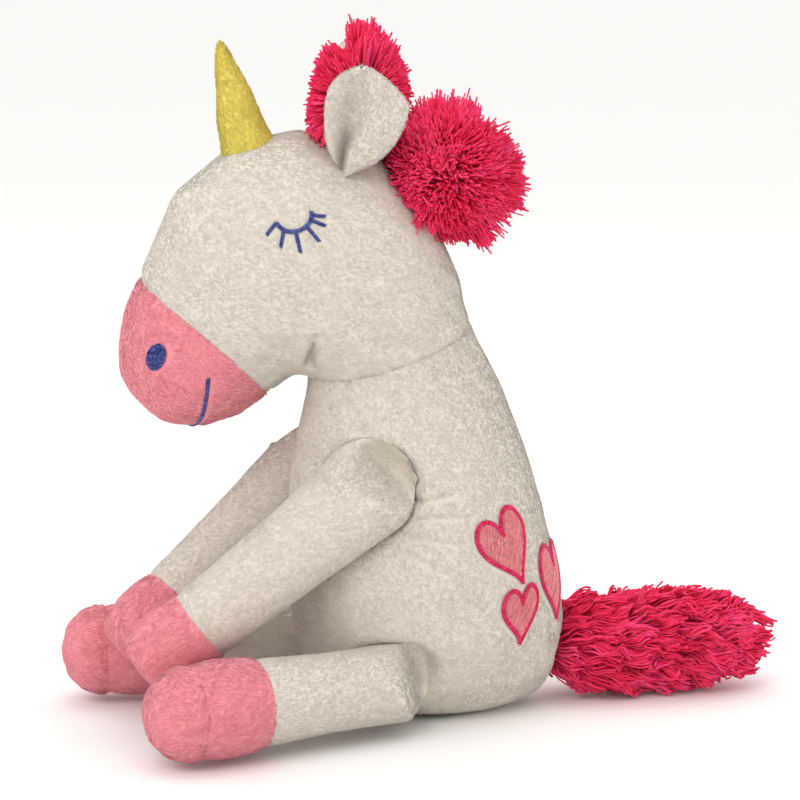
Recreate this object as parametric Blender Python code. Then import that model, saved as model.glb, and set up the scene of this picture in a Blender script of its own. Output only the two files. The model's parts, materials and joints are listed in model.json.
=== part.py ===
"""Seated plush unicorn: sewn fleece covers, filling, yarn hair and stitched details.

Metres, +Z up.  The toy sits on z = 0 and faces -Y, its left side towards +X, with the
origin below the middle of its bounding box.  The front legs swing at the shoulders, the
back legs splay at the hips, the tail wags, the head turns on the neck seam and the ears fold.
"""
import math

import bmesh
import bpy
from mathutils import Matrix, Quaternion, Vector
from mathutils.bvhtree import BVHTree

FABRIC = 0.0020           # plush fabric with its backing
GAP = 0.0003              # clearance between touching pieces
SOCKET_GAP = 0.0009       # clearance of a limb's faceted root in its faceted socket
FILL_INSET = FABRIC + 2 * GAP    # the filling lies this far inside a cover's outer face
SIDES = 24                # sides of the body and head rings
LIMB_SIDES = 16           # sides of the legs, horn, tail and hair
OVERRUN = 0.006           # how far a hollow's cutter runs past the opening it leaves
LIFT = 0.0008             # stitched work stands this far off the faceted cover below it
STITCH = 0.0009           # thickness of stitched work and of a satin border

# Outlines of the body and head: front (y, z), back (y, z) and half width of each ring.
BODY_STATIONS = (
    (-0.048, 0.0000, 0.0360, 0.0000, 0.0220),
    (-0.064, 0.0065, 0.0550, 0.0085, 0.0320),
    (-0.072, 0.0200, 0.0625, 0.0210, 0.0440),
    (-0.079, 0.0450, 0.0650, 0.0460, 0.0560),
    (-0.083, 0.0720, 0.0605, 0.0780, 0.0595),
    (-0.0825, 0.1000, 0.0530, 0.1080, 0.0555),
    (-0.0790, 0.1270, 0.0430, 0.1370, 0.0505),
    (-0.0735, 0.1525, 0.0310, 0.1680, 0.0458),
    (-0.0685, 0.1750, 0.0125, 0.2030, 0.0427),
)
HEAD_STATIONS = (
    (-0.0686, 0.1755, 0.0123, 0.2035, 0.0427),
    (-0.0708, 0.1768, 0.0070, 0.2270, 0.0470),
    (-0.0730, 0.1768, -0.0085, 0.2610, 0.0500),
    (-0.0755, 0.1760, -0.0350, 0.2890, 0.0512),
    (-0.0780, 0.1745, -0.0740, 0.3020, 0.0507),
    (-0.0800, 0.1728, -0.1070, 0.2945, 0.0490),
    (-0.0828, 0.1704, -0.1365, 0.2700, 0.0460),
    (-0.0872, 0.1667, -0.1550, 0.2270, 0.0410),
)
MUZZLE_STATIONS = (
    (-0.0874, 0.1665, -0.1552, 0.2268, 0.0410),
    (-0.1030, 0.1560, -0.1614, 0.2115, 0.0402),
    (-0.1200, 0.1508, -0.1647, 0.1945, 0.0350),
    (-0.1370, 0.1520, -0.1645, 0.1790, 0.0240),
)
MUZZLE_TIP = (-0.1530, 0.1635)

# Joint centres.
NECK_PIVOT = Vector((0.0, -0.0282, 0.1895))
NECK_AXIS = Vector((0.0, -0.326, 0.946)).normalized()
HEAD_TURN = -14.5         # degrees about the neck axis: at rest the head looks a little to its right
SHOULDER = Vector((0.0438, -0.0507, 0.1270))
HIP = Vector((0.0460, -0.0360, 0.0275))
RIGHT_FOOT_AHEAD = 0.0122    # the right back leg sits this much further forward
EAR_ROOT = Vector((0.0350, -0.0440, 0.2865))
TAIL_ROOT = Vector((0.0, 0.0600, 0.0275))

# Legs: the way each one points, and (distance from its joint, radius) along its cover.
ARM_END = Vector((0.0227, -0.1603, 0.0394))
FOOT_END = Vector((0.0720, -0.1700, 0.0262))
ARM_RADIUS = 0.0230
THIGH_RADIUS = 0.0190
ARM_COVER = ((0.030, 0.0226), (0.055, 0.0216), (0.082, 0.0203), (0.1085, 0.0197))
ARM_HOOF = ((0.1088, 0.0197), (0.1180, 0.0211), (0.1280, 0.0214), (0.1360, 0.0200))
ARM_SOLE = ((0.1363, 0.0199), (0.1410, 0.0172), (0.1440, 0.0105))
FOOT_COVER = ((0.028, 0.0197), (0.055, 0.0210), (0.0800, 0.0224))
FOOT_HOOF = ((0.0803, 0.0224), (0.0900, 0.0243), (0.1030, 0.0250), (0.1160, 0.0236))
FOOT_SOLE = ((0.1163, 0.0235), (0.1270, 0.0200), (0.1345, 0.0130))
ARM_TIP = 0.1455
FOOT_TIP = 0.1380
ARM_LIFTS = (0.0, 8.5, 17.0, 25.5)    # degrees; the shoulder sockets clear this swing
SOCKET_REACH = 0.0800     # the sockets follow a limb this far from its joint

# Horn, hair, ears and tail.
HORN_BASE = Vector((0.0, -0.0985, 0.2905))
HORN_TIP_WALL = 0.0042        # fabric and seam closed up at the tip
HORN_TIP = Vector((0.0, -0.1140, 0.3440))
HORN_STATIONS = ((0.0, 0.0145), (0.30, 0.0116), (0.60, 0.0076), (0.86, 0.0040))
FORELOCK_STATIONS = (
    (-0.0680, 0.2950, -0.0310, 0.2890, 0.0130),
    (-0.0700, 0.3110, -0.0270, 0.3100, 0.0160),
    (-0.0670, 0.3310, -0.0230, 0.3300, 0.0165),
    (-0.0600, 0.3470, -0.0260, 0.3470, 0.0130),
)
FORELOCK_TOP = (-0.0430, 0.3570)
CREST_CENTRE = Vector((0.0, 0.0060, 0.2780))
CREST_SIZE = Vector((0.0290, 0.0325, 0.0370))
EAR_HEIGHT = 0.0530
EAR_HALF_WIDTH = 0.0200
EAR_CURL = 0.0070
EAR_UP = Vector((0.20, 0.02, 1.0)).normalized()
EAR_ACROSS = Vector((0.30, 0.95, 0.0)).normalized()
TAIL_CORE = ((0.020, 0.0070), (0.040, 0.0065))
TAIL_YARN = ((0.0075, 0.0130), (0.0250, 0.0225), (0.0500, 0.0266), (0.0880, 0.0266), (0.1130, 0.0215))
TAIL_TIP = 0.1246
TAIL_ROOT_SWELL = 0.0032   # the core's ball root is this much wider than the core

# Seat, pouch and stitched work.
SEAT_THICKNESS = 0.0020
POUCH_STATIONS = ((0.0026, 0.0170), (0.0080, 0.0220), (0.0150, 0.0200))
POUCH_TOP = 0.0185
# heart: width, height, degrees round the body from the back, place above the seat, tilt in degrees
HEARTS = {
    "large": (0.0330, 0.0385, 61.5, 0.0845, -16.0),
    "small": (0.0220, 0.0300, 54.0, 0.0505, -12.0),
    "rear": (0.0330, 0.0390, 27.5, 0.0610, -4.0),
}
BORDER = 0.0022
THREAD_LINE = 0.0021      # width of the satin lines of the eyes and mouth
FLANK_CENTRE_Y = -0.012       # the hearts sit round this upright line
FLANK_RADIUS = 0.055
EYE_PLACE = Vector((0.047, -0.0790, 0.2670))
EYE_FACING = Vector((0.93, -0.10, 0.30))
NOSTRIL_PLACE = Vector((0.032, -0.1430, 0.1930))
NOSTRIL_FACING = Vector((0.72, -0.69, 0.05))
NOSTRIL_TILT = -22            # degrees
MOUTH_FRONT = -0.1305         # the smile's centre line, and how far it sets back at the cheeks
MOUTH_SET_BACK = 0.0105
MOUTH_HEIGHT = 0.1850
EYE_RADIUS = 0.0088
EYE_TILT = 19.0
# lash: step along the lid, length, lean in degrees
LASHES = ((0, 0.0066, 40.0), (3, 0.0082, 6.0), (6, 0.0095, -14.0), (8, 0.0088, -18.0), (10, 0.0074, -14.0))
LAST_LASH_TURN = -28.0
LAST_LASH = 0.0066
NOSTRIL = (0.0056, 0.0076)    # half width and half height
MOUTH_REACH = 88.0            # degrees up each cheek from under the muzzle

WHITE_PLUSH = (0.83, 0.80, 0.75)
PINK_PLUSH = (0.85, 0.32, 0.38)
YELLOW_PLUSH = (0.80, 0.68, 0.22)
YARN_PINK = (0.80, 0.04, 0.17)
EMBROIDERY_BLUE = (0.06, 0.08, 0.33)
HEART_PINK = (0.80, 0.33, 0.40)
BORDER_PINK = (0.66, 0.03, 0.12)
FIBREFILL = (0.92, 0.92, 0.90)
POUCH_CLOTH = (0.75, 0.75, 0.72)


def fabric(name, colour, roughness=0.9):
    """A non-metallic cloth or thread material."""
    existing = bpy.data.materials.get(name)
    if existing:
        return existing
    material = bpy.data.materials.new(name)
    material.use_nodes = True
    shader = material.node_tree.nodes["Principled BSDF"]
    shader.inputs["Base Color"].default_value = (*colour, 1.0)
    shader.inputs["Roughness"].default_value = roughness
    shader.inputs["Metallic"].default_value = 0.0
    return material


def place_of(pivot):
    """Where a pivot is while the head still looks straight ahead."""
    place = Vector()
    while pivot:
        place += pivot.location
        pivot = pivot.parent
    return place


def solid(name, points, faces, material, pivot=None):
    """One named object from points and faces, its origin at the pivot's place if there is one.

    Points are given for a head that looks straight ahead; what hangs on the neck turns with it.
    """
    origin = place_of(pivot)
    mesh = bpy.data.meshes.new(name)
    mesh.from_pydata([point - origin for point in points], [], faces)
    shape = bmesh.new()
    shape.from_mesh(mesh)
    bmesh.ops.recalc_face_normals(shape, faces=shape.faces)
    if shape.calc_volume(signed=True) < 0:
        bmesh.ops.reverse_faces(shape, faces=shape.faces)
    shape.to_mesh(mesh)
    shape.free()
    mesh.shade_smooth()
    mesh.set_sharp_from_angle(angle=math.radians(50))
    piece = bpy.data.objects.new(name, mesh)
    bpy.context.scene.collection.objects.link(piece)
    if material:
        mesh.materials.append(material)
    if pivot:
        piece.parent = pivot
    return piece


def joint_empty(name, place, parent=None):
    """An empty on a joint's axis, which carries the pieces that turn about it."""
    empty = bpy.data.objects.new(name, None)
    empty.location = place - place_of(parent)
    empty.parent = parent
    empty.empty_display_size = 0.01
    bpy.context.scene.collection.objects.link(empty)
    return empty


def cut_away(piece, cutter):
    """Take a hidden cutter's volume out of a piece."""
    cutter.hide_render = True
    cutter.display_type = 'WIRE'
    cut = piece.modifiers.new("Clear " + cutter.name, 'BOOLEAN')
    cut.operation = 'DIFFERENCE'
    cut.solver = 'EXACT'
    cut.object = cutter


def ring(station, inset=0.0, sides=SIDES):
    """A ring between a front and a back point, drawn in by inset."""
    front = Vector((0.0, station[0], station[1]))
    back = Vector((0.0, station[2], station[3]))
    centre = (front + back) / 2
    reach = (back - front) / 2
    reach -= reach.normalized() * inset
    half_width = station[4] - inset
    points = []
    for step in range(sides):
        turn = 2 * math.pi * step / sides
        points.append(centre + reach * math.cos(turn) + Vector((half_width * math.sin(turn), 0.0, 0.0)))
    return points


def tube_ring(origin, direction, distance, radius, sides=LIMB_SIDES):
    """A round ring square to a direction."""
    side = direction.cross(Vector((0.0, 0.0, 1.0)))
    if side.length < 0.001:
        side = Vector((1.0, 0.0, 0.0))
    side.normalize()
    up = side.cross(direction).normalized()
    centre = origin + direction * distance
    points = []
    for step in range(sides):
        turn = 2 * math.pi * step / sides
        points.append(centre + side * (radius * math.cos(turn)) + up * (radius * math.sin(turn)))
    return points


def walls(rings, first=0):
    """Triangles between neighbouring rings that follow each other in the point list."""
    sides = len(rings[0])
    faces = []
    for row in range(len(rings) - 1):
        low = first + row * sides
        for step in range(sides):
            after = (step + 1) % sides
            faces.append((low + step, low + after, low + sides + after))
            faces.append((low + step, low + sides + after, low + sides + step))
    return faces


def fan(start, sides, pole):
    """Triangles from a ring to a single point."""
    return [(start + step, start + (step + 1) % sides, pole) for step in range(sides)]


def loft(name, rings, material, first_pole=None, last_pole=None, pivot=None):
    """A closed solid through rings, ended by a flat face or by a point at each end."""
    sides = len(rings[0])
    points = [point for one in rings for point in one]
    faces = walls(rings)
    last = (len(rings) - 1) * sides
    for start, pole in ((0, first_pole), (last, last_pole)):
        if pole is None:
            faces.append(tuple(range(start, start + sides)))
        else:
            points.append(pole)
            faces += fan(start, sides, len(points) - 1)
    return solid(name, points, faces, material, pivot)


def shell(name, outer, inner, material, outer_pole=None, inner_pole=None, pivot=None):
    """A hollow cover: open at its first ring, and at its last one unless poles close it."""
    sides = len(outer[0])
    points = [point for one in outer for point in one] + [point for one in inner for point in one]
    start = len(outer) * sides
    faces = walls(outer) + walls(inner, start)
    outer_last = (len(outer) - 1) * sides
    inner_last = start + (len(inner) - 1) * sides
    for step in range(sides):
        after = (step + 1) % sides
        faces.append((step, after, start + after, start + step))
        if outer_pole is None:
            faces.append((outer_last + step, outer_last + after, inner_last + after, inner_last + step))
    if outer_pole is not None:
        points.append(outer_pole)
        faces += fan(outer_last, sides, len(points) - 1)
        points.append(inner_pole)
        faces += fan(inner_last, sides, len(points) - 1)
    return solid(name, points, faces, material, pivot)


def ball(centre, radius, sides=LIMB_SIDES, rows=8, size=Vector((1.0, 1.0, 1.0))):
    """Points and faces of a globe, for cutters and round tufts."""
    points = []
    faces = []
    for row in range(1, rows):
        rise = math.pi * row / rows
        for step in range(sides):
            turn = 2 * math.pi * step / sides
            flat = math.sin(rise) * radius
            spot = Vector((flat * math.cos(turn), flat * math.sin(turn), -radius * math.cos(rise)))
            points.append(centre + spot * size)
    for row in range(rows - 2):
        for step in range(sides):
            after = (step + 1) % sides
            low = row * sides
            faces.append((low + step, low + after, low + sides + after, low + sides + step))
    points.append(centre - Vector((0.0, 0.0, radius)) * size)
    points.append(centre + Vector((0.0, 0.0, radius)) * size)
    faces += fan(0, sides, len(points) - 2)
    faces += fan((rows - 2) * sides, sides, len(points) - 1)
    return points, faces


def hull(spots):
    """Points and faces of the convex hull of some points."""
    shape = bmesh.new()
    for spot in spots:
        shape.verts.new(spot)
    result = bmesh.ops.convex_hull(shape, input=shape.verts)
    loose = [item for item in result["geom_interior"] if isinstance(item, bmesh.types.BMVert)]
    bmesh.ops.delete(shape, geom=loose, context='VERTS')
    shape.verts.index_update()
    points = [corner.co.copy() for corner in shape.verts]
    faces = [tuple(corner.index for corner in face.verts) for face in shape.faces]
    shape.free()
    return points, faces


def limb_space(root, end, radius, stations, clearance, lifts):
    """The space that a limb's root and upper part take, over the angles it is lifted by."""
    spots = ball(root, radius + clearance)[0]
    direction = (end - root).normalized()
    for lift in lifts:
        turned = Matrix.Rotation(math.radians(-lift), 3, 'X') @ direction
        for distance, size in stations:
            if distance <= SOCKET_REACH:
                spots += tube_ring(root, turned, distance, size + clearance)
    return hull(spots)


def socket_cutter(name, clearance):
    """The four limb sockets and the tail socket, kept as separate bodies of one cutter."""
    spaces = [ball(TAIL_ROOT, TAIL_CORE[0][1] + TAIL_ROOT_SWELL + clearance)]
    for side in (1, -1):
        spaces.append(limb_space(mirrored(SHOULDER, side), mirrored(ARM_END, side), ARM_RADIUS,
                                 ARM_COVER, clearance, ARM_LIFTS))
        spaces.append(limb_space(back_leg(HIP, side), back_leg(FOOT_END, side), THIGH_RADIUS,
                                 FOOT_COVER, clearance, (0.0,)))
    points = []
    faces = []
    for spots, sheets in spaces:
        faces += [tuple(len(points) + corner for corner in sheet) for sheet in sheets]
        points += spots
    return solid(name, points, faces, None)


def mirrored(place, side):
    """The same place on the left (side 1) or on the right (side -1)."""
    return Vector((place.x * side, place.y, place.z))


def back_leg(place, side):
    """A place on a back leg; the right one sits further forward."""
    ahead = RIGHT_FOOT_AHEAD if side < 0 else 0.0
    return mirrored(place, side) - Vector((0.0, ahead, 0.0))


def stretched(rings):
    """Rings with their first and last ones repeated past the ends, to cut clean openings."""
    first = sum(rings[0], Vector()) / len(rings[0])
    second = sum(rings[1], Vector()) / len(rings[1])
    before = sum(rings[-2], Vector()) / len(rings[-2])
    last = sum(rings[-1], Vector()) / len(rings[-1])
    down = (first - second).normalized() * OVERRUN
    up = (last - before).normalized() * OVERRUN
    return [[point + down for point in rings[0]]] + rings + [[point + up for point in rings[-1]]]


def make_body():
    """Body cover with limb sockets, its filling, the seat panel and the bean pouch."""
    white = fabric("white_plush", WHITE_PLUSH)
    outer = [ring(station) for station in BODY_STATIONS]
    hollow = [ring(station, FABRIC) for station in BODY_STATIONS]
    cover = loft("body_cover", outer, white)
    cut_away(cover, socket_cutter("sockets_outside", SOCKET_GAP))
    inside = loft("body_hollow", stretched(hollow), None)
    cut_away(inside, socket_cutter("sockets_inside", SOCKET_GAP + FABRIC))
    cut_away(cover, inside)

    seat = [ring(BODY_STATIONS[0], FABRIC + GAP), ring(BODY_STATIONS[0], FABRIC + GAP)]
    seat[1] = [point + Vector((0.0, 0.0, SEAT_THICKNESS)) for point in seat[1]]
    loft("seat_panel", seat, white)

    fill = [ring(station, FILL_INSET) for station in BODY_STATIONS]
    floor = SEAT_THICKNESS + GAP
    fill[0] = [point + Vector((0.0, 0.0, floor)) for point in fill[0]]
    fill[-1] = [point - NECK_AXIS * GAP for point in fill[-1]]
    stuffing = loft("body_stuffing", fill, fabric("fibrefill", FIBREFILL))
    cut_away(stuffing, socket_cutter("sockets_filling", SOCKET_GAP + FILL_INSET))

    middle = Vector((0.0, -0.007, 0.0))
    upward = Vector((0.0, 0.0, 1.0))
    rows = [tube_ring(middle, upward, height, radius) for height, radius in POUCH_STATIONS]
    loft("bean_pouch", rows, fabric("pouch_cloth", POUCH_CLOTH), last_pole=middle + upward * POUCH_TOP)
    rows = [tube_ring(middle, upward, height, radius + GAP) for height, radius in POUCH_STATIONS]
    rows.insert(0, tube_ring(middle, upward, -GAP, POUCH_STATIONS[0][1] + GAP))
    space = loft("pouch_space", rows, None, last_pole=middle + upward * (POUCH_TOP + GAP))
    cut_away(stuffing, space)


def make_head(neck):
    """Head cover, muzzle cover and the filling inside both."""
    white = fabric("white_plush", WHITE_PLUSH)
    pink = fabric("pink_plush", PINK_PLUSH)
    shell("head_cover", [ring(station) for station in HEAD_STATIONS],
          [ring(station, FABRIC) for station in HEAD_STATIONS], white, pivot=neck)
    tip = Vector((0.0, *MUZZLE_TIP))
    inward = Vector((0.0, 0.73, 0.684))
    shell("muzzle_cover", [ring(station) for station in MUZZLE_STATIONS],
          [ring(station, FABRIC) for station in MUZZLE_STATIONS], pink,
          outer_pole=tip, inner_pole=tip + inward * FABRIC, pivot=neck)
    fill = [ring(station, FILL_INSET) for station in HEAD_STATIONS + MUZZLE_STATIONS[1:]]
    loft("head_stuffing", fill, fabric("fibrefill", FIBREFILL),
         last_pole=tip + inward * FILL_INSET, pivot=neck)


def head_form(name, clearance, neck):
    """The closed outer form of the head, grown by a clearance, which hair and horn are fitted to."""
    stations = HEAD_STATIONS + MUZZLE_STATIONS[1:]
    return loft(name, [ring(station, -clearance) for station in stations], None,
                last_pole=Vector((0.0, *MUZZLE_TIP)), pivot=neck)


def make_horn(neck, form):
    """A hollow horn cover sewn to the forehead, with its filling."""
    axis = HORN_TIP - HORN_BASE
    length = axis.length
    axis.normalize()
    start = HORN_BASE - axis * OVERRUN
    outer = [tube_ring(start, axis, 0.0, HORN_STATIONS[0][1])]
    inner = [tube_ring(start, axis, 0.0, HORN_STATIONS[0][1] - FABRIC)]
    fill = [tube_ring(start, axis, 0.0, HORN_STATIONS[0][1] - FABRIC - GAP)]
    for part, radius in HORN_STATIONS:
        distance = part * length
        outer.append(tube_ring(HORN_BASE, axis, distance, radius))
        inner.append(tube_ring(HORN_BASE, axis, distance, radius - FABRIC))
        fill.append(tube_ring(HORN_BASE, axis, distance, radius - FABRIC - GAP))
    cover = shell("horn_cover", outer, inner, fabric("yellow_plush", YELLOW_PLUSH),
                  outer_pole=HORN_TIP, inner_pole=HORN_TIP - axis * HORN_TIP_WALL, pivot=neck)
    stuffing = loft("horn_stuffing", fill, fabric("fibrefill", FIBREFILL),
                    last_pole=HORN_TIP - axis * (HORN_TIP_WALL + 2 * GAP), pivot=neck)
    cut_away(cover, form)
    cut_away(stuffing, form)


def make_hair(neck, form):
    """The forelock between the ears, and the mane bunch behind the head on its sewing tape."""
    yarn = fabric("pink_yarn", YARN_PINK, 0.8)
    rows = [ring(station, sides=LIMB_SIDES) for station in FORELOCK_STATIONS]
    forelock = loft("mane_forelock", rows, yarn, last_pole=Vector((0.0, *FORELOCK_TOP)), pivot=neck)
    cut_away(forelock, form)
    points, faces = ball(CREST_CENTRE, 1.0, rows=9, size=CREST_SIZE)
    crest = solid("mane_crest", points, faces, yarn, neck)
    cut_away(crest, form)


def make_ear(side, name, pivot):
    """A leaf-shaped ear that curls about its height: an outer panel and its lining."""
    white = fabric("white_plush", WHITE_PLUSH)
    root = mirrored(EAR_ROOT, side)
    upward = mirrored(EAR_UP, side)
    across = mirrored(EAR_ACROSS, side)
    outward = mirrored(EAR_ACROSS.cross(EAR_UP), side)
    rows = 7
    columns = 6

    def panel(piece, near, far, trim):
        points = []
        for depth in (near, far):
            for row in range(rows + 1):
                part = row / rows
                leaf = math.sin(math.pi * (0.08 + 0.90 * part) ** 1.5) ** 0.8
                half = EAR_HALF_WIDTH * leaf - trim
                for column in range(columns + 1):
                    spread = 2 * column / columns - 1
                    curl = EAR_CURL * spread * spread * leaf
                    height = (EAR_HEIGHT - 2 * trim) * part + trim
                    points.append(root + upward * height + across * (half * spread)
                                  + outward * (curl + depth))
        layer = (rows + 1) * (columns + 1)
        faces = []
        for row in range(rows):
            for column in range(columns):
                corner = row * (columns + 1) + column
                sheet = (corner, corner + 1, corner + columns + 2, corner + columns + 1)
                faces.append(sheet)
                faces.append(tuple(layer + spot for spot in sheet))
        edge = [column for column in range(columns + 1)]
        edge += [row * (columns + 1) + columns for row in range(1, rows + 1)]
        edge += [rows * (columns + 1) + column for column in reversed(range(columns))]
        edge += [row * (columns + 1) for row in reversed(range(1, rows))]
        for spot, after in zip(edge, edge[1:] + edge[:1]):
            faces.append((spot, after, layer + after, layer + spot))
        solid(piece, points, faces, white, pivot)

    panel(name + "_outer", -FABRIC, 0.0, 0.0)
    panel(name + "_lining", GAP, GAP + FABRIC, 0.0012)


def make_leg(name, pivot, end, root_radius, cover, hoof, sole, tip):
    """One leg: a white cover with a domed root, a pink hoof, its sole and the filling."""
    root = place_of(pivot)
    direction = (end - root).normalized()
    dome = []
    for turn in (-60, -30, 0):
        angle = math.radians(turn)
        dome.append((root_radius * math.sin(angle), root_radius * math.cos(angle)))
    pole = root - direction * root_radius

    def rings(stations, inset):
        return [tube_ring(root, direction, distance, radius - inset) for distance, radius in stations]

    def root_rings(inset):
        scale = (root_radius - inset) / root_radius
        return [tube_ring(root, direction, distance * scale, radius * scale) for distance, radius in dome]

    white = fabric("white_plush", WHITE_PLUSH)
    pink = fabric("pink_plush", PINK_PLUSH)
    outer = list(reversed(root_rings(0.0) + rings(cover, 0.0)))
    inner = list(reversed(root_rings(FABRIC) + rings(cover, FABRIC)))
    shell(name + "_cover", outer, inner, white, pole, pole + direction * FABRIC, pivot)
    shell(name + "_hoof", rings(hoof, 0.0), rings(hoof, FABRIC), pink, pivot=pivot)
    end_point = root + direction * tip
    inside = [(distance, radius - FABRIC) for distance, radius in sole]
    shell(name + "_sole", rings(sole, 0.0), rings([(sole[0][0], sole[0][1] - FABRIC)] + [
        (distance - FABRIC, radius) for distance, radius in inside[1:]], 0.0), pink,
        end_point, end_point - direction * FABRIC, pivot)
    fill = root_rings(FILL_INSET) + rings(cover + hoof[1:], FILL_INSET)
    loft(name + "_stuffing", fill, fabric("fibrefill", FIBREFILL),
         pole + direction * FILL_INSET, None, pivot)


def make_tail(pivot):
    """A sewn core with a ball root, and the yarn bunch around it."""
    root = place_of(pivot)
    back = Vector((0.0, 1.0, 0.0))
    radius = TAIL_CORE[0][1] + TAIL_ROOT_SWELL
    turns = [math.radians(turn) for turn in (-60, -30, 0)]
    dome = [tube_ring(root, back, radius * math.sin(turn), radius * math.cos(turn)) for turn in turns]
    rows = dome + [tube_ring(root, back, distance, size) for distance, size in TAIL_CORE]
    loft("tail_core", rows, fabric("white_plush", WHITE_PLUSH), root - back * radius, None, pivot)
    rows = [tube_ring(root, back, distance, size) for distance, size in TAIL_YARN]
    yarn = loft("tail_yarn", rows, fabric("pink_yarn", YARN_PINK, 0.8), None, root + back * TAIL_TIP, pivot)
    bore = [tube_ring(root, back, distance, size + GAP) for distance, size in (
        (0.0, radius), (TAIL_CORE[0][0], TAIL_CORE[0][1]), (TAIL_CORE[1][0] + GAP, TAIL_CORE[1][1]))]
    cut_away(yarn, loft("tail_bore", bore, None))


def surface(rings, last_pole=None):
    """A finely sided form of a cover, to lay stitched work on."""
    piece = loft("surface_guide", rings, None, last_pole=last_pole)
    shape = bmesh.new()
    shape.from_mesh(piece.data)
    tree = BVHTree.FromBMesh(shape)
    shape.free()
    mesh = piece.data
    bpy.data.objects.remove(piece)
    bpy.data.meshes.remove(mesh)
    return tree


def stitched(name, tree, anchor, outward, upward, points, faces, material, pivot=None, thickness=STITCH):
    """A thin closed plate that lies on a cover, drawn flat as (across, up) and laid on along outward."""
    across = upward.cross(outward).normalized()
    upward = outward.cross(across).normalized()
    under = []
    over = []
    for right, rise in points:
        start = anchor + across * right + upward * rise + outward * 0.04
        place, normal, _, _ = tree.ray_cast(start, -outward)
        lean = (normal + outward).normalized()
        under.append(place + lean * LIFT)
        over.append(place + lean * (LIFT + thickness))
    count = len(points)
    sheets = list(faces) + [tuple(count + corner for corner in face) for face in faces]
    rim = set()
    for face in faces:
        for corner, after in zip(face, face[1:] + face[:1]):
            rim ^= {(min(corner, after), max(corner, after))}
    for corner, after in sorted(rim):
        sheets.append((corner, after, count + after, count + corner))
    return solid(name, under + over, sheets, material, pivot)


def heart_point(turn, width, height):
    """A point of a heart outline of the given size, point down."""
    across = math.sin(turn) ** 3
    rise = (13 * math.cos(turn) - 5 * math.cos(2 * turn) - 2 * math.cos(3 * turn) - math.cos(4 * turn)) / 16
    return (across * width / 2, (rise + 0.16) * height * 0.55)


def make_heart(name, tree, width, height, round_from_back, place, tilt):
    """A heart-shaped patch with a satin border, laid on the body's left side."""
    steps = 24
    angle = math.radians(round_from_back)
    outward = Vector((math.sin(angle), math.cos(angle), 0.15)).normalized()
    anchor = Vector((0.0, FLANK_CENTRE_Y, place)) + outward * FLANK_RADIUS
    lean = math.radians(tilt)
    level = Vector((0.0, 0.0, 1.0)).cross(outward).normalized()
    upward = (Vector((0.0, 0.0, 1.0)) * math.cos(lean) + level * math.sin(lean)).normalized()
    outline = [heart_point(2 * math.pi * step / steps, width, height) for step in range(steps)]
    patch_scale = (width - 2 * BORDER - 6 * GAP) / width
    inner_scale = (width - 2 * BORDER) / width
    patch = []
    for scale in (patch_scale, patch_scale * 0.66, patch_scale * 0.33):
        patch += [(right * scale, rise * scale) for right, rise in outline]
    faces = [tuple(face) for face in walls([range(steps)] * 3)]
    patch.append((0.0, 0.0))
    faces += [tuple(face) for face in fan(2 * steps, steps, 3 * steps)]
    stitched("heart_patch_" + name, tree, anchor, outward, upward, patch, faces,
             fabric("heart_plush", HEART_PINK))
    border = outline + [(right * inner_scale, rise * inner_scale) for right, rise in outline]
    faces = [tuple(face) for face in walls([range(steps)] * 2)]
    stitched("heart_border_" + name, tree, anchor, outward, upward, border, faces,
             fabric("satin_border", BORDER_PINK, 0.45), thickness=2 * STITCH)


def ribbon(spine, width):
    """Points and faces of a flat ribbon along a spine of (across, up) points."""
    points = []
    for place, spot in enumerate(spine):
        before = Vector(spine[max(place - 1, 0)])
        after = Vector(spine[min(place + 1, len(spine) - 1)])
        along = (after - before).normalized()
        side = Vector((-along.y, along.x)) * (width / 2)
        points.append((spot[0] + side.x, spot[1] + side.y))
        points.append((spot[0] - side.x, spot[1] - side.y))
    faces = [(2 * step, 2 * step + 2, 2 * step + 3, 2 * step + 1) for step in range(len(spine) - 1)]
    return points, faces


def make_eye(side, name, tree, neck):
    """A closed eye: a curved lid line with lashes growing from its outer edge."""
    anchor = mirrored(EYE_PLACE, side)
    outward = mirrored(EYE_FACING, side).normalized()
    steps = 12
    spine = []
    for step in range(steps + 1):
        turn = math.radians(185 + 170 * step / steps)
        spine.append((EYE_RADIUS * math.cos(turn) * side, EYE_RADIUS * math.sin(turn) * 0.9))
    points, faces = ribbon(spine, THREAD_LINE)
    outer = 1 if side > 0 else 0
    for step, length, lean in LASHES:
        first = 2 * step + outer
        second = 2 * (step + 1) + outer
        middle = (Vector(points[first]) + Vector(points[second])) / 2
        aim = math.atan2(middle.y, middle.x * side) + math.radians(lean)
        away = Vector((math.cos(aim) * side, math.sin(aim))) * length
        start = len(points)
        points.append(tuple(Vector(points[first]) * 0.8 + Vector(points[second]) * 0.2 + away))
        points.append(tuple(Vector(points[second]) * 0.8 + Vector(points[first]) * 0.2 + away))
        faces.append((first, start, start + 1, second))
    start = len(points)
    away = Vector((math.cos(math.radians(LAST_LASH_TURN)) * side, math.sin(math.radians(LAST_LASH_TURN))))
    for corner in (2 * steps, 2 * steps + 1):
        points.append(tuple(Vector(points[corner]) + away * LAST_LASH))
    faces.append((2 * steps, start, start + 1, 2 * steps + 1))
    tilt = Matrix.Rotation(math.radians(EYE_TILT * side), 2)
    points = [tuple(tilt @ Vector(point)) for point in points]
    stitched(name, tree, anchor, outward, Vector((0.0, 0.0, 1.0)), points, faces,
             fabric("blue_thread", EMBROIDERY_BLUE, 0.4), neck)


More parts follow.
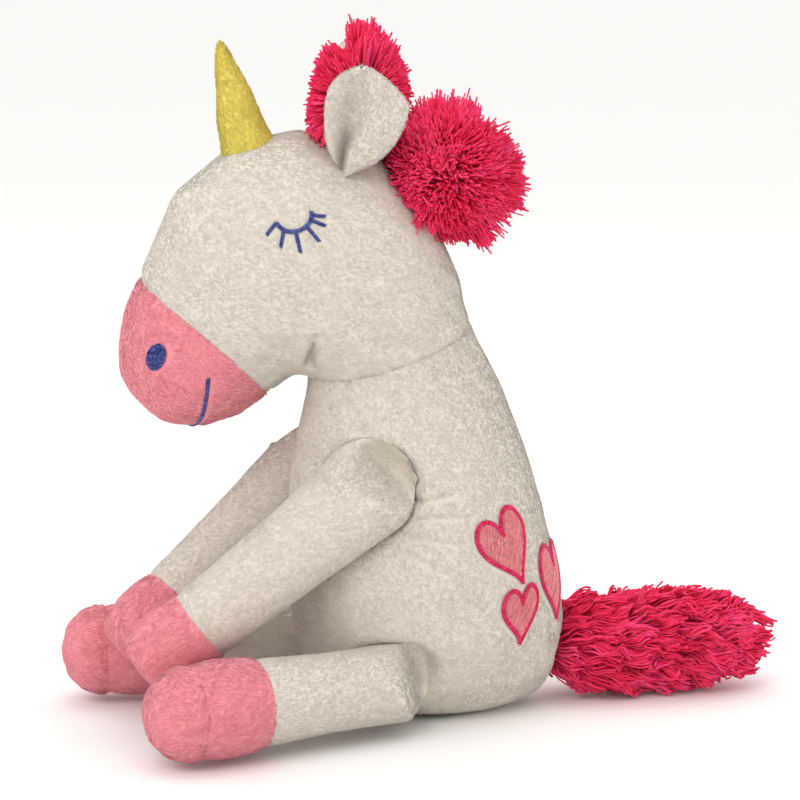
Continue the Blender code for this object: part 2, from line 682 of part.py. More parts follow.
def make_nostril(side, name, tree, neck):
    """A satin-stitched oval nostril on the muzzle."""
    steps = 14
    anchor = mirrored(NOSTRIL_PLACE, side)
    outward = mirrored(NOSTRIL_FACING, side).normalized()
    tilt = math.radians(NOSTRIL_TILT * side)
    oval = []
    for scale in (1.0, 0.5):
        for step in range(steps):
            turn = 2 * math.pi * step / steps
            right = NOSTRIL[0] * math.cos(turn) * scale
            rise = NOSTRIL[1] * math.sin(turn) * scale
            oval.append((right * math.cos(tilt) - rise * math.sin(tilt),
                         right * math.sin(tilt) + rise * math.cos(tilt)))
    faces = [tuple(face) for face in walls([range(steps)] * 2)]
    oval.append((0.0, 0.0))
    faces += [tuple(face) for face in fan(steps, steps, 2 * steps)]
    stitched(name, tree, anchor, outward, Vector((0.0, 0.0, 1.0)), oval, faces,
             fabric("blue_thread", EMBROIDERY_BLUE, 0.4), neck)


def make_mouth(tree, neck):
    """A stitched smile that runs from cheek to cheek under the front of the muzzle."""
    steps = 26
    spots = []
    for step in range(steps + 1):
        part = 2 * step / steps - 1
        turn = math.radians(MOUTH_REACH * part)
        away = Vector((math.sin(turn), 0.0, -math.cos(turn)))
        back = 1.25 * part * part / (0.25 + part * part)
        centre = Vector((0.0, MOUTH_FRONT + MOUTH_SET_BACK * back, MOUTH_HEIGHT))
        spots.append(tree.ray_cast(centre + away * 0.06, -away)[:2])
    points = []
    for lift in (LIFT, LIFT + STITCH):
        for place, (spot, normal) in enumerate(spots):
            along = (spots[min(place + 1, steps)][0] - spots[max(place - 1, 0)][0]).normalized()
            side = along.cross(normal).normalized() * (THREAD_LINE / 2)
            points += [spot + side + normal * lift, spot - side + normal * lift]
    layer = 2 * len(spots)
    faces = [(0, 1, layer + 1, layer), (layer - 2, layer - 1, 2 * layer - 1, 2 * layer - 2)]
    for step in range(steps):
        low = 2 * step
        faces.append((low, low + 1, low + 3, low + 2))
        faces.append((layer + low, layer + low + 1, layer + low + 3, layer + low + 2))
        faces.append((low, low + 2, layer + low + 2, layer + low))
        faces.append((low + 1, low + 3, layer + low + 3, layer + low + 1))
    solid("mouth_line", points, faces, fabric("blue_thread", EMBROIDERY_BLUE, 0.4), neck)


def main():
    for leftover in list(bpy.data.objects):
        bpy.data.objects.remove(leftover)

    make_body()
    body_surface = surface([ring(station, sides=96) for station in BODY_STATIONS])
    for name, size_and_place in HEARTS.items():
        make_heart(name, body_surface, *size_and_place)

    neck = joint_empty("neck_pivot", NECK_PIVOT)
    neck.rotation_mode = 'QUATERNION'
    neck.rotation_quaternion = Quaternion(NECK_AXIS, math.radians(HEAD_TURN))
    make_head(neck)
    form = head_form("head_form", 2 * GAP, neck)
    make_horn(neck, form)
    make_hair(neck, form)
    face_surface = surface([ring(station, sides=96) for station in HEAD_STATIONS + MUZZLE_STATIONS[1:]],
                           Vector((0.0, *MUZZLE_TIP)))
    make_mouth(face_surface, neck)
    for side, word in ((1, "left"), (-1, "right")):
        make_eye(side, word + "_eye", face_surface, neck)
        make_nostril(side, word + "_nostril", face_surface, neck)
        make_ear(side, word + "_ear", joint_empty(word + "_ear_pivot", mirrored(EAR_ROOT, side), neck))
        make_leg("front_" + word + "_leg", joint_empty(word + "_shoulder", mirrored(SHOULDER, side)),
                 mirrored(ARM_END, side), ARM_RADIUS, ARM_COVER, ARM_HOOF, ARM_SOLE, ARM_TIP)
        make_leg("back_" + word + "_leg", joint_empty(word + "_hip", back_leg(HIP, side)),
                 back_leg(FOOT_END, side), THIGH_RADIUS, FOOT_COVER, FOOT_HOOF, FOOT_SOLE, FOOT_TIP)
    make_tail(joint_empty("tail_pivot", TAIL_ROOT))


main()
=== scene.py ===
"""The look of a seated plush unicorn: stuffed skins, pile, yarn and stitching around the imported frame."""

import json
import math

import bmesh
import bpy
import numpy as np
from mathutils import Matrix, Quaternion, Vector
from mathutils.bvhtree import BVHTree
from mathutils.kdtree import KDTree


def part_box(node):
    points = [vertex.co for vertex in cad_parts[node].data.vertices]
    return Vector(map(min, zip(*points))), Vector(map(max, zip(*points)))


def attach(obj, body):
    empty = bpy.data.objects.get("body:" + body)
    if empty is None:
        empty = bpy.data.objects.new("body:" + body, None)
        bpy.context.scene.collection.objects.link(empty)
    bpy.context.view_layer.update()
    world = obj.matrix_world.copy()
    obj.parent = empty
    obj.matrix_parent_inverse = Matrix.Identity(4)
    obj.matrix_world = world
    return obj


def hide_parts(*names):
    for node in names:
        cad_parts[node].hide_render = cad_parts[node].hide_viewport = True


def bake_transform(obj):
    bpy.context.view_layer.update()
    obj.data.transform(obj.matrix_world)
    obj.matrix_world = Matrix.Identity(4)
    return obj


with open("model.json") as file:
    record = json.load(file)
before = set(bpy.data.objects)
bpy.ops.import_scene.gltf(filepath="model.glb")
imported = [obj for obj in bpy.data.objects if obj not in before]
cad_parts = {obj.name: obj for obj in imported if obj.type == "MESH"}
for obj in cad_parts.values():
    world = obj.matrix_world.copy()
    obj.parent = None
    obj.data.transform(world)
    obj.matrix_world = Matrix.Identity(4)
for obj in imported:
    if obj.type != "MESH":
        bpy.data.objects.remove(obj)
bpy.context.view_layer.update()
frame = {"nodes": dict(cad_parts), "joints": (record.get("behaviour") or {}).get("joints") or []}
NODES = frame["nodes"]
JOINTS = {joint["name"]: joint for joint in frame["joints"]}
SCENE = bpy.context.scene

# ------------ sizes, metres
VOXEL = 0.0045  # skins are remeshed to this before the cloth pressure
LEG_VOXEL = 0.0036
SKIN_GROWN = 0.0020  # how far outside its solid a skin starts
SOLE_GROWN = 0.0015
SKIN_MOVES = 0.0030  # how far the pressure may move it
LEG_MOVES = 0.0022
CLOTH = {"quality": 5, "tension_stiffness": 12.0, "compression_stiffness": 4.0, "shear_stiffness": 4.0,
         "bending_stiffness": 0.4, "use_pressure": True, "uniform_pressure_force": 4.0}
FRAMES = 20
SEAM_WIDTH = 0.0032
SEAM_DEPTH = 0.0014
HOOF_SEAM = 0.0006  # the seams round the legs are shallower
SOLE_SEAM = 0.0010
TUCK = 0.0025  # seam allowance turned in at a cut edge
FLOOR_CLEAR = 0.0006
HEAD_TURN = math.radians(-14.5)
ROOT_SWELL = 0.0018  # how much fuller a leg is at its root, and how far that reaches
ROOT_REACH = 0.045
ROOT_HALF = 0.020
SEWN_LOW = 0.020  # how far along a leg the sewn-down part reaches, on its lower and upper sides
SEWN_HIGH = 0.044
SEWN_DEPTH = 0.0010
SKIN_APART = 0.0009  # a leg's pile grows only this far clear of the body
JAW_CREASE = ((0.0285, -0.0705, 0.1850), (0.0384, -0.0689, 0.1966), (0.0440, -0.0665, 0.2060))
CREASE_WIDTH = 0.0021
CREASE_DEPTH = 0.0068
NECK_MEETS = 0.014  # skins are raised where they are nearer to each other than this
NECK_LIFT = 0.0022
# each drag line runs from y, z to y, z on both flanks
DRAG_LINES = ((-0.028, 0.119, -0.006, 0.123), (-0.030, 0.111, -0.003, 0.111), (-0.032, 0.102, -0.006, 0.097),
              (-0.036, 0.094, -0.016, 0.084))
DRAG_DEPTH = 0.0022
DRAG_WIDTH = 0.0021
LEG_BEND = (-0.014, 0.030)  # from the joint along the leg, passed to the cover as bend points
LEGS = {f"{end}_{side}_leg": f"{end}_{side}_leg_{motion}"
        for end, motion in (("front", "swing"), ("back", "splay")) for side in ("left", "right")}
BODY_NAP = np.array((0.0, 0.25, -1.0))  # down and a little back
HEAD_DROP = np.array((0.0, 0.0, -0.75))  # added to the way back from the nose
MUZZLE_DROP = np.array((0.0, 0.0, -0.5))
LEG_DROP = np.array((0.0, 0.0, -0.35))

# pile: length, width, strands per square millimetre
WHITE_PILE = (0.0022, 0.00021, 1.30)
PINK_PILE = (0.0034, 0.00027, 1.05)
HORN_PILE = (0.0036, 0.00024, 1.20)
LARGEST_PILE_PIECE = 33000  # strands
GROUND_LIGHT = 0.64  # how far a fibre clump is lit like the cloth under it
STREAK = 0.0022  # sizes of the pile's streaks, tone patches and wider sways
TONE_PATCH = 0.0025
SWAY_PATCH = 0.009
PILE_SUNK = 0.0004  # how deep its roots lie in the cloth
PILE_LIFT = 0.003  # it grows only this far above the floor
GOLDEN_TURN = 2.399963  # spreads tufts evenly round the tail

NECK = Vector(JOINTS["head_turn"]["pos_m"])
TURN = Quaternion(Vector(JOINTS["head_turn"]["axis"]).normalized(), HEAD_TURN)
UP = Vector((0.0, 0.0, 1.0))


# ------------ small helpers
def turned(point):
    """A point given for a head that looks straight ahead, in its turned place."""
    return NECK + TURN @ (Vector(point) - NECK)


def linear(red, green, blue):
    """An 8-bit display colour as the linear colour that shaders take."""
    return tuple(((part / 255 + 0.055) / 1.055) ** 2.4 for part in (red, green, blue)) + (1.0,)


def unit(vectors):
    """Vectors scaled to length one."""
    length = np.linalg.norm(vectors, axis=-1, keepdims=True)
    return vectors / np.maximum(length, 1e-9)


def waves(points, scale, seed, count=9):
    """Smooth noise between about -1 and 1, with features of a given size."""
    draw = np.random.default_rng(seed)
    total = np.zeros(points.shape[:-1])
    for _ in range(count):
        direction = draw.normal(size=3) / scale
        total += np.sin(points @ direction + draw.uniform(0, 2 * math.pi))
    return total / math.sqrt(count) * 0.9


def read(items, key, width=3, kind=np.float32):
    """One property of a mesh's items as an array with a row for each."""
    values = np.zeros(len(items) * width, kind)
    items.foreach_get(key, values)
    return values.reshape(-1, width)


def co_of(mesh):
    """A mesh's vertices as an array."""
    return read(mesh.vertices, "co").astype(float)


def normals_of(mesh):
    """A mesh's vertex normals as an array."""
    return read(mesh.vertex_normals, "vector").astype(float)


def put_co(mesh, points):
    """Moves a mesh's vertices."""
    mesh.vertices.foreach_set("co", points.astype(np.float32).ravel())
    mesh.update()


def push(piece, amount):
    """Moves a skin's points along their normals, each as far as a function says."""
    points = co_of(piece.data)
    put_co(piece.data, points + normals_of(piece.data) * amount(points)[:, None])


def read_off(table, at, column=1):
    """A measure from a table's column, at places between its rows."""
    return np.interp(at, [row[0] for row in table], [row[column] for row in table])


def add_object(name, data):
    """A new object in the scene."""
    piece = bpy.data.objects.new(name, data)
    SCENE.collection.objects.link(piece)
    return piece


def dye(piece, *materials):
    """Gives an object its materials."""
    for material in materials:
        piece.data.materials.append(material)
    return piece


def mesh_from(name, points, faces, slots=None):
    """An object from points and arrays of faces, all shaded smooth."""
    mesh = bpy.data.meshes.new(name)
    corners = np.concatenate([group.ravel() for group in faces]).astype(np.int32)
    sizes = np.concatenate([np.full(len(group), group.shape[1]) for group in faces])
    starts = np.concatenate([[0], np.cumsum(sizes)[:-1]]).astype(np.int32)
    mesh.vertices.add(len(points))
    mesh.vertices.foreach_set("co", np.asarray(points, np.float32).ravel())
    mesh.loops.add(len(corners))
    mesh.loops.foreach_set("vertex_index", corners)
    mesh.polygons.add(len(sizes))
    mesh.polygons.foreach_set("loop_start", starts)
    if slots is not None:
        mesh.polygons.foreach_set("material_index", np.asarray(slots, np.int32))
    mesh.update(calc_edges=True)
    mesh.polygons.foreach_set("use_smooth", np.ones(len(sizes), bool))
    return add_object(name, mesh)


def tree_of(piece):
    """A search tree over an object's mesh, which sits at the origin."""
    mesh = piece.data
    return BVHTree.FromPolygons([v.co for v in mesh.vertices], [tuple(p.vertices) for p in mesh.polygons])


def frames_for(directions):
    """Two directions square to each given direction."""
    least = np.abs(directions).argmin(axis=-1)
    aside = unit(np.cross(directions, np.eye(3)[least]))
    return aside, np.cross(directions, aside)


def ring(count, first, second):
    """Directions turned evenly round from one direction through another, square to it."""
    turn = np.arange(count)[:, None] * 2 * math.pi / count
    return np.cos(turn) * first + np.sin(turn) * second


def tubes(name, paths, radii, materials, tones, sides=4):
    """One object of closed strands: paths is (strand, step, 3), radii (strand, step)."""
    count, steps, _ = paths.shape
    along = unit(np.gradient(paths, axis=1))
    first, _ = frames_for(unit(paths[:, -1] - paths[:, 0]))
    aside = unit(first[:, None] - along * (first[:, None] * along).sum(-1, keepdims=True))
    around = ring(sides, aside[:, :, None], np.cross(along, aside)[:, :, None])
    points = (paths[:, :, None] + radii[:, :, None, None] * around).reshape(-1, 3)
    side = np.arange(sides)
    after = (side + 1) % sides
    start = (np.arange(count)[:, None] * steps + np.arange(steps - 1))[:, :, None] * sides
    walls = np.stack([start + side, start + after, start + sides + after, start + sides + side], -1)
    root = (np.arange(count) * steps * sides)[:, None]
    ends = np.concatenate([root + side[::-1], root + (steps - 1) * sides + side])
    slots = np.concatenate([np.repeat(tones, (steps - 1) * sides), np.tile(tones, 2)])
    return dye(mesh_from(name, points, [walls.reshape(-1, 4), ends], slots), *materials)


# ------------ materials
def shader(name, roughness, sheen=0.0, sheen_tint=None):
    """A material and its main shader node."""
    material = bpy.data.materials.new(name)
    material.use_nodes = True
    node = material.node_tree.nodes["Principled BSDF"]
    node.inputs["Roughness"].default_value = roughness
    node.inputs["Specular IOR Level"].default_value = 0.25
    node.inputs["Sheen Weight"].default_value = sheen
    node.inputs["Sheen Roughness"].default_value = 0.45
    if sheen_tint:
        node.inputs["Sheen Tint"].default_value = sheen_tint
    return material, node


def add_node(material, kind, **values):
    """A node with its input values or settings."""
    node = material.node_tree.nodes.new(kind)
    for key, value in values.items():
        if key in node.inputs:
            node.inputs[key].default_value = value
        else:
            setattr(node, key, value)
    return node


def plush_cloth(name, dark, light, sheen=0.25):
    """A knitted plush ground: mottled tones, fine fibre streaks, and a nap and knit bump."""
    material, main = shader(name, 0.9, sheen)
    link = material.node_tree.links.new
    place = add_node(material, "ShaderNodeTexCoord").outputs["Object"]
    mottle = add_node(material, "ShaderNodeTexNoise", Scale=55.0, Detail=4.0, Roughness=0.6)
    fibre = add_node(material, "ShaderNodeTexNoise", Scale=900.0, Detail=3.0, Roughness=0.7)
    both = add_node(material, "ShaderNodeMath", operation='ADD')
    ramp = add_node(material, "ShaderNodeValToRGB")
    for mark, position, colour in zip(ramp.color_ramp.elements, (0.62, 0.92), (dark, light)):
        mark.position = position
        mark.color = colour
    courses = add_node(material, "ShaderNodeTexWave", Scale=190.0, Distortion=1.2, Detail=2.0,
                       bands_direction='Z')
    rows = add_node(material, "ShaderNodeMath", operation='MULTIPLY')
    rows.inputs[1].default_value = 0.3
    height = add_node(material, "ShaderNodeMath", operation='ADD')
    bump = add_node(material, "ShaderNodeBump", Strength=0.45, Distance=0.0006)
    for texture in (mottle, fibre, courses):
        link(place, texture.inputs["Vector"])
    for start, out, end, into in (
            (mottle, "Fac", both, 0), (fibre, "Fac", both, 1), (both, 0, ramp, "Fac"),
            (ramp, "Color", main, "Base Color"), (fibre, "Fac", height, 0), (courses, "Fac", rows, 0),
            (rows, 0, height, 1), (height, 0, bump, "Height"), (bump, "Normal", main, "Normal")):
        link(start.outputs[out], end.inputs[into])
    return material


def tones(name, colours, roughness=0.85, sheen=0.3):
    """Plain strand materials, one for each shade; the strands themselves carry the pattern."""
    made = []
    for number, colour in enumerate(colours):
        material, main = shader(f"{name}_{number + 1}", roughness, sheen, colour)
        main.inputs["Base Color"].default_value = colour
        made.append(material)
    return made


def shades(red, green, blue, spread, count=4):
    """Shades of one display colour, from darker to lighter."""
    steps = np.linspace(-1, 0.7, count) * spread
    return [linear(*(min(252, max(6, part + step * weight)) for part, weight in
                     ((red, 1.0), (green, 1.08), (blue, 1.15)))) for step in steps]


# ------------ stuffed skins
def start_skin(name, grown, voxel=VOXEL):
    """An even mesh just outside one or two solids, each grown a little, ready for the cloth pressure."""
    form = bmesh.new()
    for node, grow in grown:
        solid = bmesh.new()
        solid.from_mesh(NODES[node].data)
        bmesh.ops.remove_doubles(solid, verts=solid.verts, dist=1e-5)
        solid.normal_update()
        for corner in solid.verts:
            corner.co += corner.normal * grow
        own = bpy.data.meshes.new(name)
        solid.to_mesh(own)
        solid.free()
        form.from_mesh(own)
    mesh = bpy.data.meshes.new(name)
    form.to_mesh(mesh)
    form.free()
    piece = add_object(name, mesh)
    guide = add_object(name + "_guide", mesh.copy())
    remesh = piece.modifiers.new("remesh", 'REMESH')
    remesh.mode = 'VOXEL'
    remesh.voxel_size = voxel
    piece.modifiers.new("soften", 'SMOOTH').iterations = 6
    wrap = piece.modifiers.new("wrap", 'SHRINKWRAP')
    wrap.target = guide
    piece.modifiers.new("settle", 'SMOOTH').iterations = 2
    settle(piece)
    bpy.data.objects.remove(guide)
    return piece


def settle(piece):
    """Applies an object's modifiers."""
    graph = bpy.context.evaluated_depsgraph_get()
    mesh = bpy.data.meshes.new_from_object(piece.evaluated_get(graph))
    piece.modifiers.clear()
    piece.data = mesh


def blow_up(pieces, limits):
    """Cloth pressure fills the skins; no point moves farther than its limit."""
    before = [co_of(piece.data) for piece in pieces]
    for piece in pieces:
        cloth = piece.modifiers.new("cloth", 'CLOTH').settings
        for setting, value in CLOTH.items():
            setattr(cloth, setting, value)
        cloth.effector_weights.gravity = 0.0
    for step in range(1, FRAMES + 1):
        SCENE.frame_set(step)
    graph = bpy.context.evaluated_depsgraph_get()
    after = [co_of(piece.evaluated_get(graph).data) for piece in pieces]
    for piece, old, new, limit in zip(pieces, before, after, limits):
        piece.modifiers.clear()
        step = new - old
        length = np.linalg.norm(step, axis=1, keepdims=True)
        put_co(piece.data, old + step * np.minimum(1.0, limit / np.maximum(length, 1e-9)))
    SCENE.frame_set(1)


def refine(piece):
    """A finer, rounder mesh of the same skin."""
    piece.modifiers.new("subdivide", 'SUBSURF').levels = 2
    settle(piece)


def split(piece, cuts, depths, names):
    """Cuts a skin along seams into pieces with turned-in edges.

    cuts holds each seam's field and the way that grows, depths how far each seam pulls in. A face
    belongs to the first piece whose field is below zero.
    """
    mesh = piece.data
    points, normals = co_of(mesh), normals_of(mesh)
    for (field, _), depth in zip(cuts, depths):
        points = points - normals * (depth * np.exp(-(field(points) / SEAM_WIDTH) ** 2))[:, None]
    put_co(mesh, points)
    shape = bmesh.new()
    shape.from_mesh(mesh)
    middles = np.array([face.calc_center_median() for face in shape.faces])
    owner = np.zeros(len(middles), int)
    for field, _ in cuts:
        owner += field(middles) > 0
    for vertex in shape.verts:
        owners = sorted({int(owner[face.index]) for face in vertex.link_faces})
        if len(owners) > 1:
            field, gradient = cuts[owners[0]]
            place = np.array(vertex.co)[None]
            vertex.co -= Vector(gradient) * float(field(place)[0])
    made = []
    for number, name in enumerate(names):
        part = shape.copy()
        part.faces.ensure_lookup_table()
        away = [part.faces[k] for k in np.flatnonzero(owner != number)]
        bmesh.ops.delete(part, geom=away, context='FACES')
        part.normal_update()
        outer = set(part.faces)
        turn_in(part)
        seen = [face in outer for face in part.faces]
        new = bpy.data.meshes.new(name)
        part.to_mesh(new)
        part.free()
        new.attributes.new("outer", 'BOOLEAN', 'FACE').data.foreach_set("value", seen)
        new.polygons.foreach_set("use_smooth", np.ones(len(new.polygons), bool))
        made.append(add_object(name, new))
    shape.free()
    bpy.data.objects.remove(piece)
    return made


def turn_in(shape):
    """Turns a skin's open edges inward as a seam allowance."""
    rim = [edge for edge in shape.edges if len(edge.link_faces) == 1]
    if not rim:
        return
    old = {vertex: vertex.normal.copy() for edge in rim for vertex in edge.verts}
    made = bmesh.ops.extrude_edge_only(shape, edges=rim)["geom"]
    fresh = [item for item in made if isinstance(item, bmesh.types.BMVert)]
    found = {tuple(round(part, 7) for part in vertex.co): normal for vertex, normal in old.items()}
    for vertex in fresh:
        normal = found.get(tuple(round(part, 7) for part in vertex.co))
        if normal:
            vertex.co -= normal * TUCK
    bmesh.ops.recalc_face_normals(shape, faces=shape.faces)


# ------------ pile
def scatter(skin, density, draw):
    """Random points on a skin with their normals, evenly over its outer area."""
    mesh = skin.data
    mesh.calc_loop_triangles()
    corners = read(mesh.loop_triangles, "vertices", 3, np.int32)
    if "outer" in mesh.attributes:
        outer = read(mesh.attributes["outer"].data, "value", 1, bool)[:, 0]
        corners = corners[outer[read(mesh.loop_triangles, "polygon_index", 1, np.int32)[:, 0]]]
    points, normals = co_of(mesh), normals_of(mesh)
    first, second, third = points[corners[:, 0]], points[corners[:, 1]], points[corners[:, 2]]
    area = np.linalg.norm(np.cross(second - first, third - first), axis=1) / 2
    wanted = int(area.sum() * 1e6 * density)
    picks = draw.choice(len(corners), wanted, p=area / area.sum())
    a, b = draw.random(wanted), draw.random(wanted)
    over = a + b > 1
    a[over], b[over] = 1 - a[over], 1 - b[over]
    share = np.stack([1 - a - b, a, b], 1)[:, :, None]
    chosen = corners[picks]
    return (points[chosen] * share).sum(1), unit((normals[chosen] * share).sum(1))


def tufts(name, roots, middles, tips, widths, normals, materials, slots):
    """One object of small closed fibre clumps, pointed at both ends and lit much as their ground is."""
    rim = widths[:, None, None] * ring(3, *(way[:, None] for way in frames_for(unit(tips - roots))))
    points = np.concatenate([roots[:, None], middles[:, None] + rim, tips[:, None]], 1).reshape(-1, 3)
    pattern = np.array([(0, 2, 1), (0, 3, 2), (0, 1, 3), (4, 1, 2), (4, 2, 3), (4, 3, 1)])
    faces = (np.arange(len(roots))[:, None, None] * 5 + pattern).reshape(-1, 3)
    piece = mesh_from(name, points, [faces], np.repeat(slots, len(pattern)))
    soft = np.repeat(normals[:, None], 5, axis=1) * GROUND_LIGHT
    soft[:, 1:4] += unit(rim) * (1 - GROUND_LIGHT)
    piece.data.normals_split_custom_set_from_vertices(unit(soft).reshape(-1, 3).astype(np.float32))
    return dye(piece, *materials)


def pile(skin, look, nap, materials, seed, stand=0.15, wild=0.20, keep=None):
    """Plush pile over a skin, combed along its nap and gathered into small streaks."""
    length, width, density = look
    draw = np.random.default_rng(seed)
    roots, normals = scatter(skin, density, draw)
    if keep is not None:
        chosen = keep(roots)
        roots, normals = roots[chosen], normals[chosen]
    lay = unit(nap - normals * (normals @ nap)[:, None])
    cross = np.cross(normals, lay)
    sway = waves(roots, STREAK, seed) * 0.36 + waves(roots, SWAY_PATCH, seed + 1) * 0.26
    sway += draw.normal(size=len(roots)) * wild
    flow = lay * np.cos(sway)[:, None] + cross * np.sin(sway)[:, None]
    size = length * draw.uniform(0.65, 1.15, len(roots))[:, None]
    rise = (stand * draw.uniform(0.5, 1.3, len(roots)))[:, None]
    middles = roots + size * (0.42 * flow + rise * 0.62 * normals)
    tips = roots + size * (flow + rise * 0.9 * normals)
    roots = roots - normals * PILE_SUNK
    tone = waves(roots, TONE_PATCH, seed + 2) * 0.20 + draw.normal(size=len(roots)) * 0.24 + 0.5
    slots = np.clip((tone * len(materials)).astype(int), 0, len(materials) - 1)
    parts = max(1, math.ceil(len(roots) / LARGEST_PILE_PIECE))
    order = np.argsort(roots[:, 2], kind="stable")
    made = []
    for number, rows in enumerate(np.array_split(order, parts)):
        name = skin.name + "_pile" + (f"_{number + 1}" if parts > 1 else "")
        made.append(tufts(name, roots[rows], middles[rows], tips[rows],
                          width * draw.uniform(0.7, 1.25, len(rows)), normals[rows], materials, slots[rows]))
    return made


def dress(piece, body, slot, *nodes, fill=None, bend=None):
    """Hangs a finished piece on its body's empty and hides the parts it stands for; fill is not used.

    With bend given, it is not hung on the body: its transform is only baked into its mesh.
    """
    if bend:
        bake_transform(piece)
    else:
        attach(piece, body)
    if nodes:
        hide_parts(*nodes)


# ------------ looks
# Cloth grounds under the pile: their tones run darker than the pile's, painted shade between the fibres over
# the cloth's own random mottle; the yarn ground is much darker than its yarn, painted shade between the
# tail's tufts.
WHITE_GROUND = plush_cloth("white_plush_ground", linear(204, 196, 183), linear(218, 210, 199))
PINK_GROUND = plush_cloth("pink_plush_ground", linear(222, 118, 132), linear(234, 142, 153))
HORN_GROUND = plush_cloth("horn_plush_ground", linear(204, 178, 70), linear(226, 204, 100))
YARN_GROUND = plush_cloth("yarn_ground", linear(150, 18, 48), linear(196, 30, 66))
WHITE_TONES = tones("white_pile", shades(217, 209, 197, 6))
PINK_TONES = tones("pink_pile", shades(238, 148, 158, 13))
HORN_TONES = tones("horn_pile", shades(219, 202, 94, 14))
YARN_TONES = tones("pink_yarn", shades(252, 58, 108, 22), 0.8, 0.3)
THREAD_TONES = tones("blue_thread", shades(72, 82, 146, 30), 0.45, 0.0)
BORDER_TONES = tones("satin_thread", shades(216, 44, 96, 20, 3), 0.45, 0.0)
HEART_TONES = tones("heart_thread", shades(232, 142, 148, 20), 0.5, 0.0)

PLUSH = {  # cloth, pile and pile colours of each slot
    "white_plush": (WHITE_GROUND, WHITE_PILE, WHITE_TONES),
    "pink_plush": (PINK_GROUND, PINK_PILE, PINK_TONES),
    "yellow_plush": (HORN_GROUND, HORN_PILE, HORN_TONES),
}


def upholster(piece, body, slot, nodes, fill, nap, seed, bend=None, **growth):
    """Gives a skin its cloth and its pile, and says what both ride on."""
    ground, look, colours = PLUSH[slot]
    dye(piece, ground)
    dress(piece, body, slot, *nodes, fill=fill, bend=bend)
    for strands in pile(piece, look, nap, colours, seed, **growth):
        dress(strands, body, slot, bend=bend)


# ------------ embroidery
THREAD = 0.00019
THREAD_GAP = 0.00030
THREAD_CLEAR = 0.0013  # pile keeps this far from threads
LINE_WIDTH = 0.0019
LASH_WIDTH = 0.0016
BORDER_WIDTH = 0.0023
BODY_CENTRE_Y = -0.012
FLANK_RADIUS = 0.055
EYE_PLACE = (0.047, -0.0790, 0.2670)
EYE_FACING = (0.93, -0.10, 0.30)
EYE_RADIUS = 0.0088
EYE_TILT = 19
LASHES = ((185, 0.0079, 214), (222, 0.0087, 242), (262, 0.0104, 265), (300, 0.0097, 293), (325, 0.0078, 321),
          (342, 0.0068, 338))   # place on the lid line, length, direction
NOSTRIL_PLACE = (0.032, -0.1430, 0.1930)
NOSTRIL_FACING = (0.72, -0.69, 0.05)
NOSTRIL_SIZE = (0.0050, 0.0070)
NOSTRIL_TILT = -22
MOUTH_REACH = 88
HEARTS = {  # width, height, degrees round from the back, height above the floor, tilt
    "large": (0.0320, 0.0418, 58.7, 0.0838, -20),
    "small": (0.0258, 0.0317, 52.0, 0.0484, -4),
    "rear": (0.0355, 0.0427, 25.0, 0.0595, 4),
}


def laid_on(tree, anchor, outward, upward):
    """A function that lays flat (across, up) points on a surface and gives places and normals."""
    across = upward.cross(outward).normalized()
    rise_way = outward.cross(across).normalized()

    def lay(flat):
        places, normals = [], []
        for right, rise in flat:
            start = anchor + across * right + rise_way * rise + outward * 0.04
            place, normal, _, _ = tree.ray_cast(start, -outward)
            if place is None:
                place, normal, _, _ = tree.find_nearest(start - outward * 0.04)
            places.append(place)
            normals.append(normal if normal.dot(outward) > 0 else -normal)
        return np.array(places), np.array(normals)
    return lay


def distances(path):
    """How far along a path each of its points lies."""
    return np.concatenate([[0], np.cumsum(np.linalg.norm(np.diff(path, axis=0), axis=1))])


def resample(values, reach, at):
    """Values known at distances along a path, read at other distances."""
    return np.stack([np.interp(at, reach, column) for column in values.T], 1)


def even_path(path, spacing, closed=False):
    """Evenly spaced points on a flat path and the way it runs there."""
    path = np.array(path)
    if closed:
        path = np.concatenate([path, path[:1]])
    reach = distances(path)
    count = max(2, int(reach[-1] / spacing))
    at = (np.arange(count) + 0.5) * reach[-1] / count
    ahead = resample(path, reach, at + spacing) - resample(path, reach, at - spacing)
    return resample(path, reach, at), unit(ahead)


def lay_rows(lay, rows, lift, arch):
    """Threads laid on a surface along flat rows of points, each arched over the cloth."""
    places, normals = lay(rows.reshape(-1, 2))
    height = np.tile(lift + arch * (1 - np.linspace(-1, 1, 5) ** 2), len(rows))[:, None]
    return (places + normals * height).reshape(len(rows), 5, 3)


def satin(lay, path, width, draw, closed=False, lift=0.0007, arch=0.0007):
    """Stitches side by side across a path, rounded over it."""
    points, ahead = even_path(path, THREAD_GAP, closed)
    side = np.stack([-ahead[:, 1], ahead[:, 0]], 1)
    share = np.linspace(-1, 1, 5)
    reach = width / 2 * (1 + draw.normal(size=len(points)) * 0.05)
    flat = points[:, None] + side[:, None] * share[None, :, None] * reach[:, None, None]
    flat = flat + ahead[:, None] * share[None, :, None] * THREAD_GAP * 1.4
    return lay_rows(lay, flat, lift, arch)


